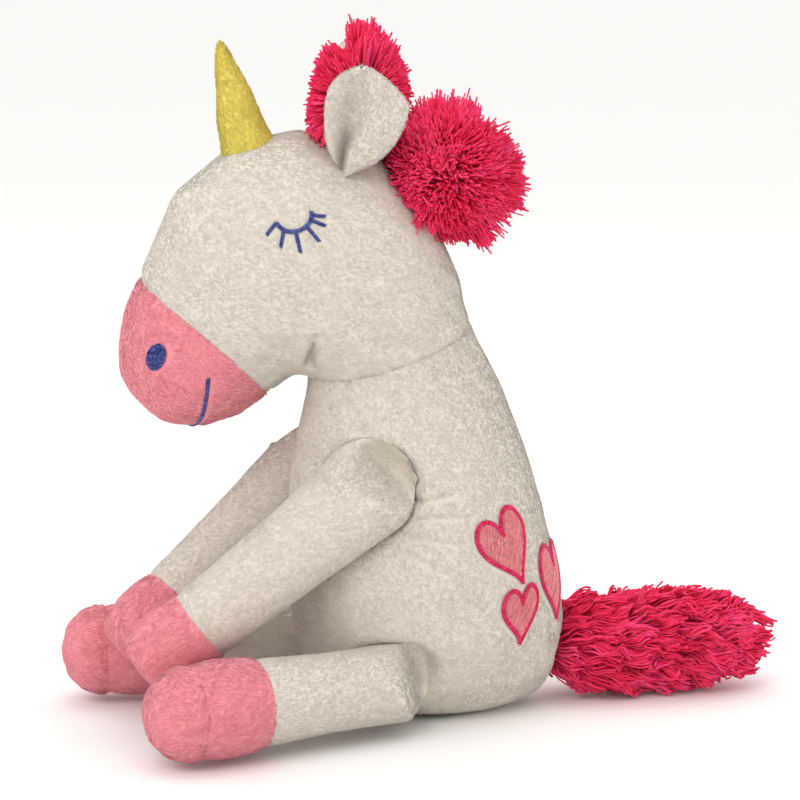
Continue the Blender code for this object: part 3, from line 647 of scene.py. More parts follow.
def fill_rows(outline, angle, spacing, stitch, draw):
    """Rows of parallel stitches that fill a flat outline, as flat five-point paths."""
    turn = math.radians(angle)
    there = np.array([[math.cos(turn), math.sin(turn)], [-math.sin(turn), math.cos(turn)]])
    shape = np.array(outline) @ there.T
    after = np.roll(shape, -1, axis=0)
    rows = []
    for level in np.arange(shape[:, 1].min() + spacing / 2, shape[:, 1].max(), spacing):
        crossing = (shape[:, 1] > level) != (after[:, 1] > level)
        start, end = shape[crossing], after[crossing]
        share = (level - start[:, 1]) / (end[:, 1] - start[:, 1])
        hits = np.sort(start[:, 0] + share * (end[:, 0] - start[:, 0]))
        for left, right in zip(hits[::2], hits[1::2]):
            breaks = np.arange(left + draw.uniform(0.2, 1.0) * stitch, right - 0.3 * stitch, stitch)
            marks = np.concatenate([[left], breaks, [right]])
            for begin, finish in zip(marks[:-1], marks[1:]):
                across = np.linspace(begin, finish, 5)
                rows.append(np.stack([across, np.full(5, level) + draw.normal() * spacing * 0.15], 1))
    return np.array(rows) @ there


def stitches(name, paths, materials, body, slot, node, draw):
    """Threads as one object that rides on a body and stands for a plate of stitching."""
    tone = draw.integers(0, len(materials), len(paths))
    piece = tubes(name, paths, np.full(paths.shape[:2], THREAD), materials, tone)
    dress(piece, body, slot, node)
    return [paths.reshape(-1, 3)]


def heart_outline(width, height, inset=0.0, steps=72):
    """The outline of a heart with a deep notch, point down."""
    turn = np.arange(steps) * 2 * math.pi / steps
    rise = (13 * np.cos(turn) - 5 * np.cos(2 * turn) - 2 * np.cos(3 * turn) - np.cos(4 * turn)) / 16
    near = np.minimum(turn, 2 * math.pi - turn)
    rise = rise - 0.15 * np.exp(-(near / 0.75) ** 2)
    across, up = width / 2 - inset, height * 0.55 - inset
    return np.stack([np.sin(turn) ** 3 * across, (rise + 0.16) * up], 1)


def make_heart(name, width, height, round_from_back, place, tilt):
    """A stitched heart on the left flank: a filled field inside a satin border."""
    draw = np.random.default_rng(len(name) + 70)
    angle = math.radians(round_from_back)
    outward = Vector((math.sin(angle), math.cos(angle), 0.15)).normalized()
    anchor = Vector((0.0, BODY_CENTRE_Y, place)) + outward * FLANK_RADIUS
    lean = math.radians(tilt)
    level = UP.cross(outward).normalized()
    upward = (UP * math.cos(lean) + level * math.sin(lean)).normalized()
    lay = laid_on(BODY_TREE, anchor, outward, upward)
    border = satin(lay, heart_outline(width, height, BORDER_WIDTH / 2), BORDER_WIDTH, draw, closed=True)
    rows = fill_rows(heart_outline(width, height, BORDER_WIDTH * 0.8), 58, 0.00042, 0.0036, draw)
    field = lay_rows(lay, rows, 0.0006, 0.00025)
    return (stitches("heart_field_" + name, field, HEART_TONES, "body", "heart_plush",
                     "heart_patch_" + name, draw)
            + stitches("heart_edge_" + name, border, BORDER_TONES, "body", "satin_border",
                       "heart_border_" + name, draw))


def face_stitches(name, paths, draw, node=None):
    """Blue stitches on the head."""
    return stitches(name + "_stitches", paths, THREAD_TONES, "head", "blue_thread", node or name, draw)


def head_facing(place, facing, side):
    """A place on the turned head and the way it faces."""
    spot = Vector((place[0] * side, place[1], place[2]))
    way = Vector((facing[0] * side, facing[1], facing[2])).normalized()
    return turned(spot), TURN @ way


def make_eye(side, name):
    """A sleeping eye: a curved lid line and six lashes in satin stitch."""
    draw = np.random.default_rng(81)
    anchor, outward = head_facing(EYE_PLACE, EYE_FACING, side)
    lay = laid_on(HEAD_TREE, anchor, outward, TURN @ UP)
    tilt = math.radians(EYE_TILT)

    def spot(degrees, reach=0.0, way=0.0):
        turn = math.radians(degrees)
        aim = math.radians(way)
        x = EYE_RADIUS * math.cos(turn) + reach * math.cos(aim)
        y = 0.9 * EYE_RADIUS * math.sin(turn) + reach * math.sin(aim)
        return (side * (x * math.cos(tilt) - y * math.sin(tilt)), x * math.sin(tilt) + y * math.cos(tilt))

    lid = [spot(degrees) for degrees in range(185, 356, 5)]
    lines = [satin(lay, [spot(place, 0.0005, way), spot(place, length, way)], LASH_WIDTH, draw)
             for place, length, way in LASHES]
    lines.append(satin(lay, lid, LINE_WIDTH, draw, lift=0.0009))
    return face_stitches(name, np.concatenate(lines), draw)


def make_nostril(side, name):
    """An oval nostril in two layers of satin stitch."""
    draw = np.random.default_rng(83)
    anchor, outward = head_facing(NOSTRIL_PLACE, NOSTRIL_FACING, side)
    lay = laid_on(MUZZLE_TREE, anchor, outward, TURN @ UP)
    tilt = math.radians(NOSTRIL_TILT * side)
    turn = np.linspace(0, 2 * math.pi, 40, endpoint=False)
    oval = np.stack([NOSTRIL_SIZE[0] * np.cos(turn), NOSTRIL_SIZE[1] * np.sin(turn)], 1)
    lean = np.array([[math.cos(tilt), -math.sin(tilt)], [math.sin(tilt), math.cos(tilt)]])
    oval = oval @ lean.T
    rows = fill_rows(oval, math.degrees(tilt) + 12 * side, THREAD_GAP, 0.0024, draw)
    return face_stitches(name, lay_rows(lay, rows, 0.0008, 0.0006), draw)


def make_mouth():
    """A stitched smile from cheek to cheek under the front of the muzzle."""
    draw = np.random.default_rng(85)
    spots, normals = [], []
    for part in np.linspace(-1, 1, 220):
        turn = math.radians(MOUTH_REACH * part)
        away = Vector((math.sin(turn), 0.0, -math.cos(turn)))
        back = 1.25 * part * part / (0.25 + part * part)
        centre = Vector((0.0, -0.1305 + 0.0105 * back, 0.1850))
        start, way = turned(centre + away * 0.06), TURN @ away
        place, normal, _, _ = MUZZLE_TREE.ray_cast(start, -way)
        if place is not None:
            spots.append(place)
            normals.append(normal)
    spots, normals = np.array(spots), np.array(normals)
    reach = distances(spots)
    at = np.arange(0, reach[-1], THREAD_GAP)
    spots, normals = resample(spots, reach, at), unit(resample(normals, reach, at))
    ahead = unit(np.gradient(spots, axis=0))
    side = np.cross(ahead, normals)
    share = np.linspace(-1, 1, 5)[None, :, None]
    width = LINE_WIDTH / 2 * (1 + draw.normal(size=(len(at), 1, 1)) * 0.05)
    threads = spots[:, None] + side[:, None] * share * width + ahead[:, None] * share * THREAD_GAP * 1.4
    threads = threads + normals[:, None] * (0.0003 + 0.0007 * (1 - share ** 2))
    return face_stitches("mouth", threads, draw, "mouth_line")


def clear_of(threads, also=None):
    """Where pile may grow: not under stitching, which presses it flat."""
    points = np.concatenate(threads)
    tree = KDTree(len(points))
    for number, point in enumerate(points):
        tree.insert(point, number)
    tree.balance()

    def keep(roots):
        far = np.array([tree.find(root)[2] > THREAD_CLEAR for root in roots])
        return far & also(roots) if also else far
    return keep


# ------------ body, head and legs
def plane_field(point, normal, bulge=None):
    """How far points lie beyond a plane, which may bow; and its direction."""
    base, direction = np.array(point), np.array(normal)

    def field(points):
        distance = (points - base) @ direction
        return distance if bulge is None else distance + bulge(points)
    return field, normal


def leg_axis(leg, joint):
    """A leg's root and direction, from its joint and its sole."""
    root = Vector(JOINTS[joint]["pos_m"])
    low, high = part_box(leg + "_sole")
    return root, ((low + high) / 2 - root).normalized()


def seam_distance(node, root, direction):
    """How far along a leg one of its pieces begins."""
    points = co_of(NODES[node].data)
    return float(((points - np.array(root)) @ np.array(direction)).min())


def near_other(points, tree):
    """How far points are from another skin."""
    return np.array([tree.find_nearest(Vector(point), 0.05)[3] or 0.05 for point in points])


def meet(first, second):
    """Raises two skins where they come close, so that they meet in a soft valley."""
    trees = {first: tree_of(second), second: tree_of(first)}
    for piece, tree in trees.items():
        push(piece, lambda points: NECK_LIFT * np.clip(1 - near_other(points, tree) / NECK_MEETS, 0, 1) ** 2)


def fill_root(piece, root, direction):
    """Makes a leg fuller where it is sewn on, so that it meets the body in a soft crease."""
    base, way = np.array(root), np.array(direction)
    push(piece, lambda points: ROOT_SWELL * np.clip(1 - (points - base) @ way / ROOT_REACH, 0, 1))


def sew_on(piece, tree, root, direction):
    """Presses a leg's root down onto the body, most along its upper side, so that it grows out of it."""
    points = co_of(piece.data)
    from_root = points - np.array(root)
    along = from_root @ np.array(direction)
    upward = np.array(UP) - np.array(direction) * direction[2]
    high = np.clip(from_root @ unit(upward) / ROOT_HALF, -1, 1)
    reach = SEWN_LOW + (SEWN_HIGH - SEWN_LOW) * (1 + high) / 2
    share = np.clip((along - along.min()) / reach, 0, 1)
    full = share * share * (3 - 2 * share)
    side = 1.0 if root[0] > 0 else -1.0
    for number in np.flatnonzero(full < 1):
        _, y, z = points[number]
        place, _, _, _ = tree.ray_cast(Vector((side * 0.2, y, z)), Vector((-side, 0.0, 0.0)))
        offset = side * (points[number][0] - place[0]) if place else -1.0
        if offset > 0:
            lowered = offset * full[number] - SEWN_DEPTH * (1 - full[number])
            points[number][0] += side * (lowered - offset)
    put_co(piece.data, points)


def flatten_base(piece):
    """Keeps a skin on the floor, flat where it rests."""
    points = co_of(piece.data)
    points[:, 2] = np.maximum(points[:, 2], FLOOR_CLEAR)
    put_co(piece.data, points)


def jaw_fold(points):
    """How much the fold under the jaw draws each point in, from 0 to 1, on both sides of the head."""
    pull = np.zeros(len(points))
    for side in (1, -1):
        marks = [np.array(turned((place[0] * side, place[1], place[2]))) for place in JAW_CREASE]
        for number, (start, end) in enumerate(zip(marks[:-1], marks[1:])):
            share = np.clip((points - start) @ (end - start) / ((end - start) @ (end - start)), 0, 1)
            away = np.linalg.norm(points - start - share[:, None] * (end - start), axis=1)
            fade = 1 - 0.5 * (number + share) / (len(marks) - 1)
            pull = np.maximum(pull, fade * np.exp(-(away / CREASE_WIDTH) ** 2))
    return pull


def clear_of_fold(points):
    """Where pile may grow: not down in the fold under the jaw."""
    return jaw_fold(points) < 0.45


def drag(points):
    """Soft dents and drag lines where the fabric pulls between shoulder and hip."""
    soft = waves(points * np.array((1.0, 1.0, 0.7)), 0.016, 11) * 0.0007
    for start_y, start_z, end_y, end_z in DRAG_LINES:
        start, run = np.array((start_y, start_z)), np.array((end_y - start_y, end_z - start_z))
        share = np.clip(((points[:, 1:] - start) @ run) / (run @ run), 0, 1)
        away = np.linalg.norm(points[:, 1:] - start - share[:, None] * run, axis=1)
        fade = np.clip(1.15 - share, 0, 1) * (np.abs(points[:, 0]) > 0.02)
        soft -= DRAG_DEPTH * fade * np.exp(-(away / DRAG_WIDTH) ** 2)
    return soft


def clear_of_floor(points):
    """Where pile may grow: not under the object."""
    return points[:, 2] > PILE_LIFT


def clear_of_body(points):
    """Where a leg's pile may grow: above the floor and not sunk in the body."""
    kept = clear_of_floor(points)
    for number in np.flatnonzero(kept):
        place, normal, _, _ = BODY_TREE.find_nearest(Vector(points[number]))
        kept[number] = normal.dot(Vector(points[number]) - place) > SKIN_APART
    return kept


body_skin = start_skin("body_skin", [("body_stuffing", SKIN_GROWN)])
head_skin = start_skin("head_form", [("head_stuffing", SKIN_GROWN)])
leg_skins = [start_skin(leg + "_form", [(leg + "_stuffing", SKIN_GROWN), (leg + "_sole", SOLE_GROWN)],
                        LEG_VOXEL) for leg in LEGS]
blow_up([body_skin, head_skin] + leg_skins, [SKIN_MOVES] * 2 + [LEG_MOVES] * 4)
for skin in [body_skin, head_skin] + leg_skins:
    refine(skin)
for skin, (leg, joint) in zip(leg_skins, LEGS.items()):
    fill_root(skin, *leg_axis(leg, joint))
meet(body_skin, head_skin)
plain_body = tree_of(body_skin)
for skin, (leg, joint) in zip(leg_skins, LEGS.items()):
    sew_on(skin, plain_body, *leg_axis(leg, joint))
push(head_skin, lambda points: -CREASE_DEPTH * jaw_fold(points))
for skin in [body_skin] + leg_skins:
    flatten_base(skin)
push(body_skin, drag)
BODY_TREE = tree_of(body_skin)

heart_threads = []
for name, size_and_place in HEARTS.items():
    heart_threads += make_heart(name, *size_and_place)
upholster(body_skin, "body", "white_plush", ("body_cover", "body_stuffing", "seat_panel", "bean_pouch"), 0.85,
          BODY_NAP, 21, keep=clear_of(heart_threads, clear_of_floor))

# muzzle seam, bowed back over the cheeks
MUZZLE_SEAM_FRONT = Vector((0.0, -0.0874, 0.1665))
MUZZLE_SEAM_TOP = Vector((0.0, -0.1552, 0.2268))
MUZZLE_BOW = 0.0055
seam_line = (MUZZLE_SEAM_TOP - MUZZLE_SEAM_FRONT).normalized()
seam_normal = TURN @ Vector((0.0, -seam_line.z, seam_line.y))
head_across = np.array(TURN @ Vector((1.0, 0.0, 0.0)))
seam_middle = turned((MUZZLE_SEAM_FRONT + MUZZLE_SEAM_TOP) / 2)


def muzzle_bow(points):
    """The seam bows towards the neck on both cheeks."""
    aside = (points - np.array(seam_middle)) @ head_across
    return MUZZLE_BOW * np.minimum(1.0, (aside / 0.040) ** 2)


muzzle_cut = plane_field(seam_middle, seam_normal, muzzle_bow)
head_skin, muzzle_skin = split(head_skin, [muzzle_cut], [SEAM_DEPTH], ["head_skin", "muzzle_skin"])
HEAD_TREE = tree_of(head_skin)
MUZZLE_TREE = tree_of(muzzle_skin)
eye_threads = make_eye(1, "left_eye") + make_eye(-1, "right_eye")
backward = np.array(TURN @ Vector((0.0, 1.0, 0.0)))
upholster(head_skin, "head", "white_plush", ("head_cover", "head_stuffing"), 0.9, backward + HEAD_DROP, 31,
          keep=clear_of(eye_threads, clear_of_fold))
face_threads = make_nostril(1, "left_nostril") + make_nostril(-1, "right_nostril") + make_mouth()
upholster(muzzle_skin, "head", "pink_plush", ("muzzle_cover",), 0.9, backward + MUZZLE_DROP, 41,
          keep=clear_of(face_threads))


def finish_leg(skin, leg, joint, seed):
    """Cuts a leg into cover, hoof and sole, each with its cloth and pile."""
    root, direction = leg_axis(leg, joint)
    cuts = [plane_field(root + direction * seam_distance(leg + part, root, direction), direction)
            for part in ("_hoof", "_sole")]
    names = [leg + part + "_skin" for part in ("", "_hoof", "_sole")]
    cover, hoof, sole = split(skin, cuts, [HOOF_SEAM, SOLE_SEAM], names)
    nap = np.array(direction) + LEG_DROP
    bend = [root + direction * place for place in LEG_BEND]
    upholster(cover, leg, "white_plush", (leg + "_cover", leg + "_stuffing"), 0.85, nap, seed, bend,
              keep=clear_of_body)
    upholster(hoof, leg, "pink_plush", (leg + "_hoof",), 0.85, nap, seed + 1, keep=clear_of_body)
    upholster(sole, leg, "pink_plush", (leg + "_sole",), 0.85, nap, seed + 2, keep=clear_of_body)


for number, (skin, (leg, joint)) in enumerate(zip(leg_skins, LEGS.items())):
    finish_leg(skin, leg, joint, 50 + number * 5)

# ------------ horn, ears and yarn
HORN_BASE = (0.0, -0.1000, 0.2905)
HORN_TIP = (0.0, -0.1140, 0.3440)
HORN_PROFILE = ((-0.12, 0.0138), (0.0, 0.0136), (0.30, 0.0112), (0.60, 0.0078), (0.86, 0.0040),
                (0.96, 0.0022), (1.0, 0.0006))
EAR_ROOT = (0.0265, -0.0520, 0.2840)
EAR_UP = (0.35, 0.02, 1.0)
EAR_ACROSS = (0.30, 0.95, 0.0)
EAR_HEIGHT = 0.0586
# each ear table begins with the share of the ear's height
EAR_OUTLINE = (  # front edge, back edge
    (0.00, -0.0022, 0.0014), (0.07, -0.0043, 0.0086), (0.13, -0.0062, 0.0144), (0.24, -0.0091, 0.0201),
    (0.35, -0.0105, 0.0245), (0.48, -0.0113, 0.0278), (0.62, -0.0118, 0.0297), (0.69, -0.0117, 0.0300),
    (0.76, -0.0113, 0.0272), (0.865, -0.0091, 0.0206), (0.93, -0.0055, 0.0150), (0.985, 0.0000, 0.0088),
    (1.00, 0.0040, 0.0054))
EAR_FOLD = ((0.00, -0.0036), (0.35, -0.0014), (0.55, 0.0010), (1.00, 0.0060))  # place across
EAR_FOLD_WIDTH = ((0.00, 0.0018), (0.25, 0.0026), (0.45, 0.0060), (0.65, 0.0092), (1.00, 0.0090))
EAR_FOLD_DEPTH = ((0.00, 0.0100), (0.30, 0.0125), (0.60, 0.0088), (0.85, 0.0040), (1.00, 0.0000))
EAR_THICKNESS = ((0.00, 0.0045), (0.15, 0.0068), (0.40, 0.0064), (0.80, 0.0040), (1.00, 0.0020))  # half
EAR_BACK = 0.0060  # how far the back bulges
EAR_STEM = 0.0070  # how far the back reaches into the head at the root
EAR_CUP = 0.0050  # how far the edges curl outward
YARN = 0.00048  # radius of one yarn strand
CREST_KNOT = (0.0, -0.0045, 0.2760)
CREST_CORE = (0.0050, 0.0065, 0.0065)
CREST_DEPTH = 0.0300  # how far its strands stand out sideways
CREST_STRANDS = 9500
# degrees from upright, forward is negative, and how far the strands reach there
CREST_REACH = (
    (-180, 0.026), (-90, 0.026), (-40, 0.036), (-22, 0.041), (2, 0.0405), (24, 0.0385), (45, 0.0385),
    (68, 0.0405), (92, 0.0420), (112, 0.0405), (132, 0.0380), (155, 0.0330), (180, 0.0300))
FORELOCK_KNOT = (0.0, -0.0435, 0.3170)
FORELOCK_SPREAD = (0.003, 0.001, 0.001)
FORELOCK_STRANDS = 6400
FORELOCK_REACH = (
    (-180, 0.028), (-130, 0.030), (-90, 0.0255), (-62, 0.0255), (-36, 0.0305), (-26, 0.0235), (-14, 0.0235),
    (-8, 0.0355), (12, 0.0335), (26, 0.029), (50, 0.0245), (80, 0.0225), (120, 0.022), (180, 0.028))


def turned_all(points):
    """Many points, given for a head that looks straight ahead, in their turned places."""
    return np.array(NECK) + (points - np.array(NECK)) @ np.array(TURN.to_matrix()).T


def grid_piece(name, points, closed=True, flip=False):
    """A smooth object from a grid of points, whose columns may wrap round."""
    rows, columns, _ = points.shape
    index = np.arange(rows * columns).reshape(rows, columns)
    after = np.roll(index, -1, axis=1)
    if not closed:
        index, after = index[:, :-1], after[:, :-1]
    faces = np.stack([index[:-1], after[:-1], after[1:], index[1:]], -1).reshape(-1, 4)
    return mesh_from(name, points.reshape(-1, 3), [faces[:, ::-1] if flip else faces])


def tube_piece(name, points):
    """A smooth tube from rings of points, with capped ends."""
    piece = grid_piece(name, points)
    shape = bmesh.new()
    shape.from_mesh(piece.data)
    bmesh.ops.holes_fill(shape, edges=shape.edges)
    bmesh.ops.recalc_face_normals(shape, faces=shape.faces)
    shape.to_mesh(piece.data)
    shape.free()
    return piece


def make_horn():
    """The horn: a slim stuffed cone with a slightly uneven skin and long yellow pile."""
    base, tip = np.array(HORN_BASE), np.array(HORN_TIP)
    axis = tip - base
    part = np.linspace(HORN_PROFILE[0][0], 1.0, 46)
    radius = read_off(HORN_PROFILE, part)
    around = ring(40, *frames_for(unit(axis)[None]))
    points = base + part[:, None, None] * axis + radius[:, None, None] * around
    points = points + around * (waves(points, 0.006, 91) * 0.0004)[:, :, None]
    horn = tube_piece("horn_skin", turned_all(points))
    upholster(horn, "head", "yellow_plush", ("horn_cover", "horn_stuffing"), 0.9,
              np.array(TURN @ Vector(axis)), 92, stand=0.12, wild=0.40)


def ear_sheet(side, face):
    """One side of a padded ear as a grid of points; face is 1 for the lining, -1 for the back.

    The lining is folded lengthwise: closed at the root, opening into a hollow above.
    """
    rise = (1 - np.cos(np.linspace(0.0, math.pi, 60)))[:, None] / 2
    across = np.sin(np.linspace(-math.pi / 2, math.pi / 2, 61))[None, :]
    front, back = read_off(EAR_OUTLINE, rise), read_off(EAR_OUTLINE, rise, 2)
    over = (front + back) / 2 + (back - front) / 2 * across
    half = read_off(EAR_THICKNESS, rise)
    room = np.sqrt(np.clip(1 - across ** 2, 0, 1))
    out = face * half * room + EAR_CUP * across ** 2 * np.sin(rise * math.pi)
    if face > 0:
        place, width = read_off(EAR_FOLD, rise), read_off(EAR_FOLD_WIDTH, rise)
        out = out - read_off(EAR_FOLD_DEPTH, rise) * room * np.exp(-((over - place) / width) ** 2)
    else:
        bulge = EAR_BACK * np.sin(rise * math.pi) + EAR_STEM * np.exp(-rise / 0.14)
        out = out - bulge * np.clip(1 - across ** 2, 0, 1)
    up, aside = unit(np.array(EAR_UP)), unit(np.array(EAR_ACROSS))
    points = np.array(EAR_ROOT) + (rise * EAR_HEIGHT)[..., None] * up + over[..., None] * aside
    points = points + out[..., None] * np.cross(aside, up)
    return turned_all(points * np.array((side, 1.0, 1.0)))


def make_ear(side, name):
    """A cupped ear of two sewn layers, both in short plush."""
    nap = np.array(TURN @ Vector((EAR_UP[0] * side, EAR_UP[1], EAR_UP[2])))
    for face, part in ((-1, "_outer"), (1, "_lining")):
        piece = grid_piece(name + part + "_skin", ear_sheet(side, face), closed=False, flip=face * side < 0)
        upholster(piece, name, "white_plush", (name + part,), 0.4, nap, 100 + side * 3 + face, stand=0.24)


def yarn_paths(starts, ways, lengths, seed, steps=6, wander=0.10, clump=0.006):
    """Softly wandering yarn strands from their starts along their ways."""
    share = np.linspace(0, 1, steps)
    lengths = np.asarray(lengths)[:, None]
    first, second = frames_for(ways)
    sway = waves(starts + ways * lengths, clump, seed)[:, None] * wander
    roll = waves(starts + ways * lengths, clump * 1.2, seed + 1)[:, None] * wander
    bend = lengths[:, :, None] * (share ** 1.8)[None, :, None]
    paths = starts[:, None] + ways[:, None] * (lengths * share)[:, :, None]
    paths = paths + first[:, None] * sway[:, :, None] * bend + second[:, None] * roll[:, :, None] * bend
    return paths


def outside(paths, tree, clearance=-0.001):
    """Which strands run outside a closed skin."""
    def clear(point):
        place, normal, _, _ = tree.find_nearest(Vector(point))
        return normal.dot(Vector(point) - place) >= clearance
    return np.array([clear(strand[len(strand) // 2]) and clear(strand[-1]) for strand in paths])


def yarn_piece(name, paths, draw, body, node, radius=YARN, bend=None):
    """Yarn strands as one object."""
    count, steps, _ = paths.shape
    thick = radius * draw.uniform(0.8, 1.2, (count, 1)) * np.linspace(0.75, 1.1, steps)
    tone = waves(paths[:, -1], 0.007, 7) * 0.25 + draw.normal(size=count) * 0.25 + 0.55
    slots = np.clip((tone * len(YARN_TONES)).astype(int), 0, len(YARN_TONES) - 1)
    piece = tubes(name, paths, thick, YARN_TONES, slots, sides=3)
    dress(piece, body, "pink_yarn", node, bend=bend)


def even_ways(count, draw):
    """Directions spread evenly over a ball, a little shaken."""
    height = 1 - 2 * (np.arange(count) + 0.5) / count
    turn = np.arange(count) * math.pi * (3 - math.sqrt(5))
    ring = np.sqrt(1 - height ** 2)
    ways = np.stack([ring * np.cos(turn), ring * np.sin(turn), height], 1)
    return unit(ways + draw.normal(size=ways.shape) * 0.05)


def make_crest():
    """The bunch of yarn behind the ears, a burst of strands from one knot."""
    draw = np.random.default_rng(111)
    ways = even_ways(CREST_STRANDS, draw)
    knot = np.array(CREST_KNOT)
    turn = np.degrees(np.arctan2(ways[:, 1], ways[:, 2]))
    reach = read_off(CREST_REACH, turn)
    reach = 1 / np.sqrt((1 - ways[:, 0] ** 2) / reach ** 2 + (ways[:, 0] / CREST_DEPTH) ** 2)
    lock = 0.98 + 0.07 * waves(ways, 0.16, 113) + draw.normal(size=len(ways)) * 0.035
    lengths = reach * np.clip(lock, 0.74, 1.07)
    core = knot + draw.normal(size=ways.shape) * CREST_CORE
    runs = knot + ways * lengths[:, None] - core
    reach = np.linalg.norm(runs, axis=1)
    paths = turned_all(yarn_paths(core, unit(runs), reach, 115, wander=0.24, clump=0.010))
    yarn_piece("mane_crest_yarn", paths[outside(paths, HEAD_TREE)], draw, "head", "mane_crest")


def make_forelock():
    """The ragged tuft between the ears, locks of different lengths from one knot."""
    draw = np.random.default_rng(121)
    count = FORELOCK_STRANDS
    turn = draw.uniform(-180, 180, count)
    lean = np.radians(draw.uniform(-38, 38, count))
    angle = np.radians(turn)
    ways = np.stack([np.sin(lean), np.sin(angle) * np.cos(lean), np.cos(angle) * np.cos(lean)], 1)
    reach = read_off(FORELOCK_REACH, turn)
    lock = 1 + 0.09 * waves(ways, 0.13, 123) + draw.normal(size=count) * 0.03
    starts = np.array(FORELOCK_KNOT) + ways * 0.003 + draw.normal(size=ways.shape) * np.array(FORELOCK_SPREAD)
    paths = turned_all(yarn_paths(starts, unit(ways), reach * lock - 0.003, 125))
    yarn_piece("mane_forelock_yarn", paths[outside(paths, HEAD_TREE)], draw, "head", "mane_forelock")


TAIL_ROOT = Vector(JOINTS["tail_wag"]["pos_m"])
TAIL_PROFILE = ((0.000, 0.0190), (0.012, 0.0228), (0.040, 0.0262), (0.080, 0.0262), (0.104, 0.0195),
                (0.122, 0.0085))
TAIL_SWEEP = 0.0070
TAIL_LENGTH = 0.1220
TAIL_TUFTS = 620
TUFT_STRANDS = 11
TAIL_YARN = 0.00060  # radius of one of its strands
TAIL_BEND = (-0.002, 0.032)  # from the joint backwards, passed to the tail's pieces as bend points
BACK = np.array((0.0, 1.0, 0.0))


def sweep(places):
    """How far the tail curves to the left of the toy, at each distance back."""
    return TAIL_SWEEP * np.clip((places - TAIL_ROOT.y) / TAIL_LENGTH, 0, None) ** 1.5


def tail_spot(along, around, radius):
    """Places at distances back from the tail's root and out from its middle."""
    return np.array(TAIL_ROOT) + BACK * along + around * radius


def tail_paths(draw):
    """Overlapping tufts of curly strands, from the tail's middle back and out."""
    count = TAIL_TUFTS
    along = np.linspace(0.000, 0.104, count) + draw.normal(size=count) * 0.002
    turn = np.arange(count) * GOLDEN_TURN + draw.normal(size=count) * 0.2
    around = np.stack([np.cos(turn), np.zeros(count), np.sin(turn)], 1)
    reach = 0.020 * draw.uniform(0.75, 1.25, count)
    end_at = np.clip(along + reach * draw.uniform(0.3, 0.9, count), 0.002, 0.1225)
    width = (read_off(TAIL_PROFILE, end_at) * draw.uniform(0.82, 1.04, count))[:, None]
    starts = tail_spot(along[:, None], around, 0.006)
    ends = tail_spot(end_at[:, None], around, width)
    bend = draw.normal(size=(count, 3)) * 0.0030
    middles = (starts + ends) / 2 + around * width * 0.30 - BACK * 0.004 + bend
    spread = draw.normal(size=(count, TUFT_STRANDS, 3))
    start, middle = starts[:, None] + spread * 0.0012, middles[:, None] + spread * 0.0019
    end = ends[:, None] + spread * 0.0012 + BACK * draw.normal(size=(count, TUFT_STRANDS, 1)) * 0.0012
    share = np.linspace(0, 1, 8)[None, None, :, None]
    curve = ((1 - share) ** 2 * start[:, :, None] + 2 * share * (1 - share) * middle[:, :, None]
             + share ** 2 * end[:, :, None])
    paths = curve.reshape(-1, 8, 3)
    curl = np.stack([waves(paths + shift, 0.0042, 133 + shift) for shift in range(3)], -1)
    paths = paths + share[0, 0] * curl * 0.0022
    paths[:, :, 0] += sweep(paths[:, :, 1])
    paths[:, :, 2] = np.maximum(paths[:, :, 2], 0.0016)
    return paths


def make_tail():
    """A shaggy tail: tufts of yarn on a soft core."""
    draw = np.random.default_rng(131)
    bend = [TAIL_ROOT + Vector(BACK) * place for place in TAIL_BEND]
    yarn_piece("tail_yarn_tufts", tail_paths(draw), draw, "tail", "tail_yarn", TAIL_YARN, bend)
    part = np.linspace(-0.004, 0.108, 40)
    radius = 0.5 * read_off(TAIL_PROFILE, part)
    radius[0] = radius[-1] = 0.002
    points = tail_spot(part[:, None, None], ring(28, np.eye(3)[0], np.eye(3)[2]), radius[:, None, None])
    points[:, :, 0] += sweep(points[:, :, 1])
    # the core's darker yarn ground is painted shade between the tufts
    core = dye(tube_piece("tail_core_skin", points), YARN_GROUND)
    dress(core, "tail", "pink_yarn", "tail_core", fill=0.7, bend=bend)


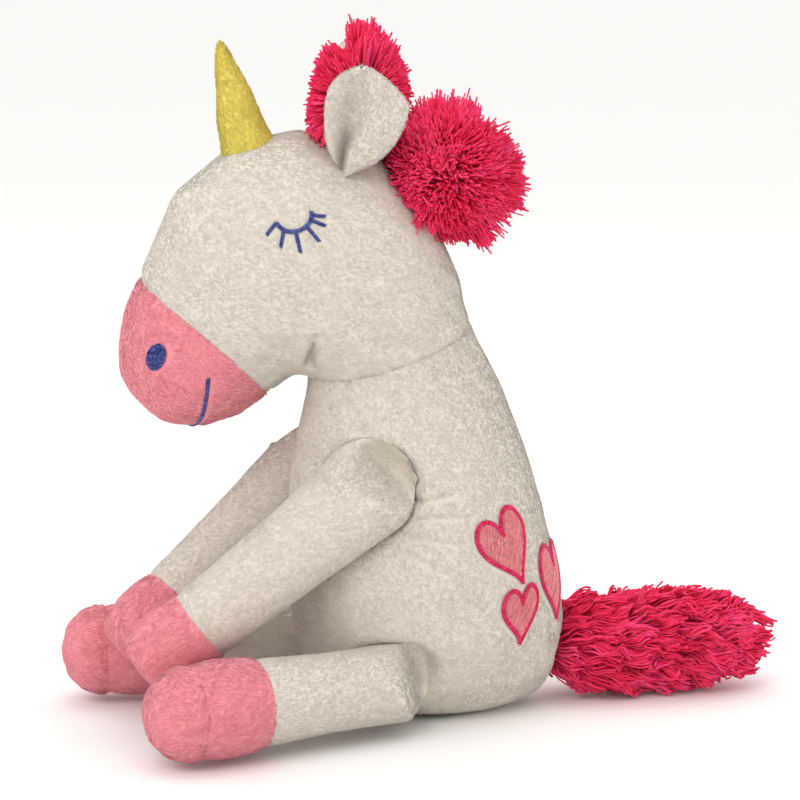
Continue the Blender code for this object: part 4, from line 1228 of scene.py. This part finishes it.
make_horn()
make_ear(1, "left_ear")
make_ear(-1, "right_ear")
make_crest()
make_forelock()
make_tail()

# ------------ floor, light and camera
CAMERA_AZIMUTH = 72.5
CAMERA_DISTANCE = 1.55
CAMERA_HEIGHT = 0.425
CAMERA_AIM = Vector((0.0, -0.0225, 0.1625))
LENS = 139.0
LAMPS = (("key", (1.3, -1.2, 1.5), 1.2, 12.0), ("top", (-0.2, 0.1, 1.9), 1.6, 7.0))  # place, size, power


def make_floor():
    """A wide pale floor that meets the pale surround."""
    bpy.ops.mesh.primitive_plane_add(size=30.0, location=(0.0, 0.0, -0.0004))
    floor = bpy.context.object
    floor.name = "floor"
    material, main = shader("floor", 0.9)
    main.inputs["Base Color"].default_value = (0.94, 0.935, 0.93, 1.0)
    floor.data.materials.append(material)


def aimed(name, data, place, target):
    """A lamp or a camera in its place, pointing at a target."""
    holder = add_object(name, data)
    holder.location = place
    holder.rotation_mode = 'QUATERNION'
    holder.rotation_quaternion = (Vector(target) - Vector(place)).to_track_quat('-Z', 'Y')
    return holder


def make_light():
    """A soft key from the front left, a broad fill and a pale surround."""
    world = bpy.data.worlds.new("studio")
    world.use_nodes = True
    background = world.node_tree.nodes["Background"]
    background.inputs["Color"].default_value = (1.0, 0.99, 0.975, 1.0)
    background.inputs["Strength"].default_value = 1.02
    SCENE.world = world
    for name, place, size, power in LAMPS:
        lamp = bpy.data.lights.new(name, 'AREA')
        lamp.size = size
        lamp.energy = power
        lamp.color = (1.0, 0.985, 0.96)
        aimed(name, lamp, place, (0.0, 0.0, 0.15))


def make_camera():
    """The camera, a little above and in front of the toy's left side."""
    lens = bpy.data.cameras.new("camera")
    lens.lens = LENS
    lens.sensor_width = 36.0
    lens.clip_start = 0.05
    angle = math.radians(CAMERA_AZIMUTH)
    place = CAMERA_AIM + Vector((math.sin(angle), -math.cos(angle), 0.0)) * CAMERA_DISTANCE
    place.z = CAMERA_HEIGHT
    SCENE.camera = aimed("camera", lens, place, CAMERA_AIM)


make_floor()
make_light()
make_camera()
SCENE.view_settings.view_transform = 'Standard'
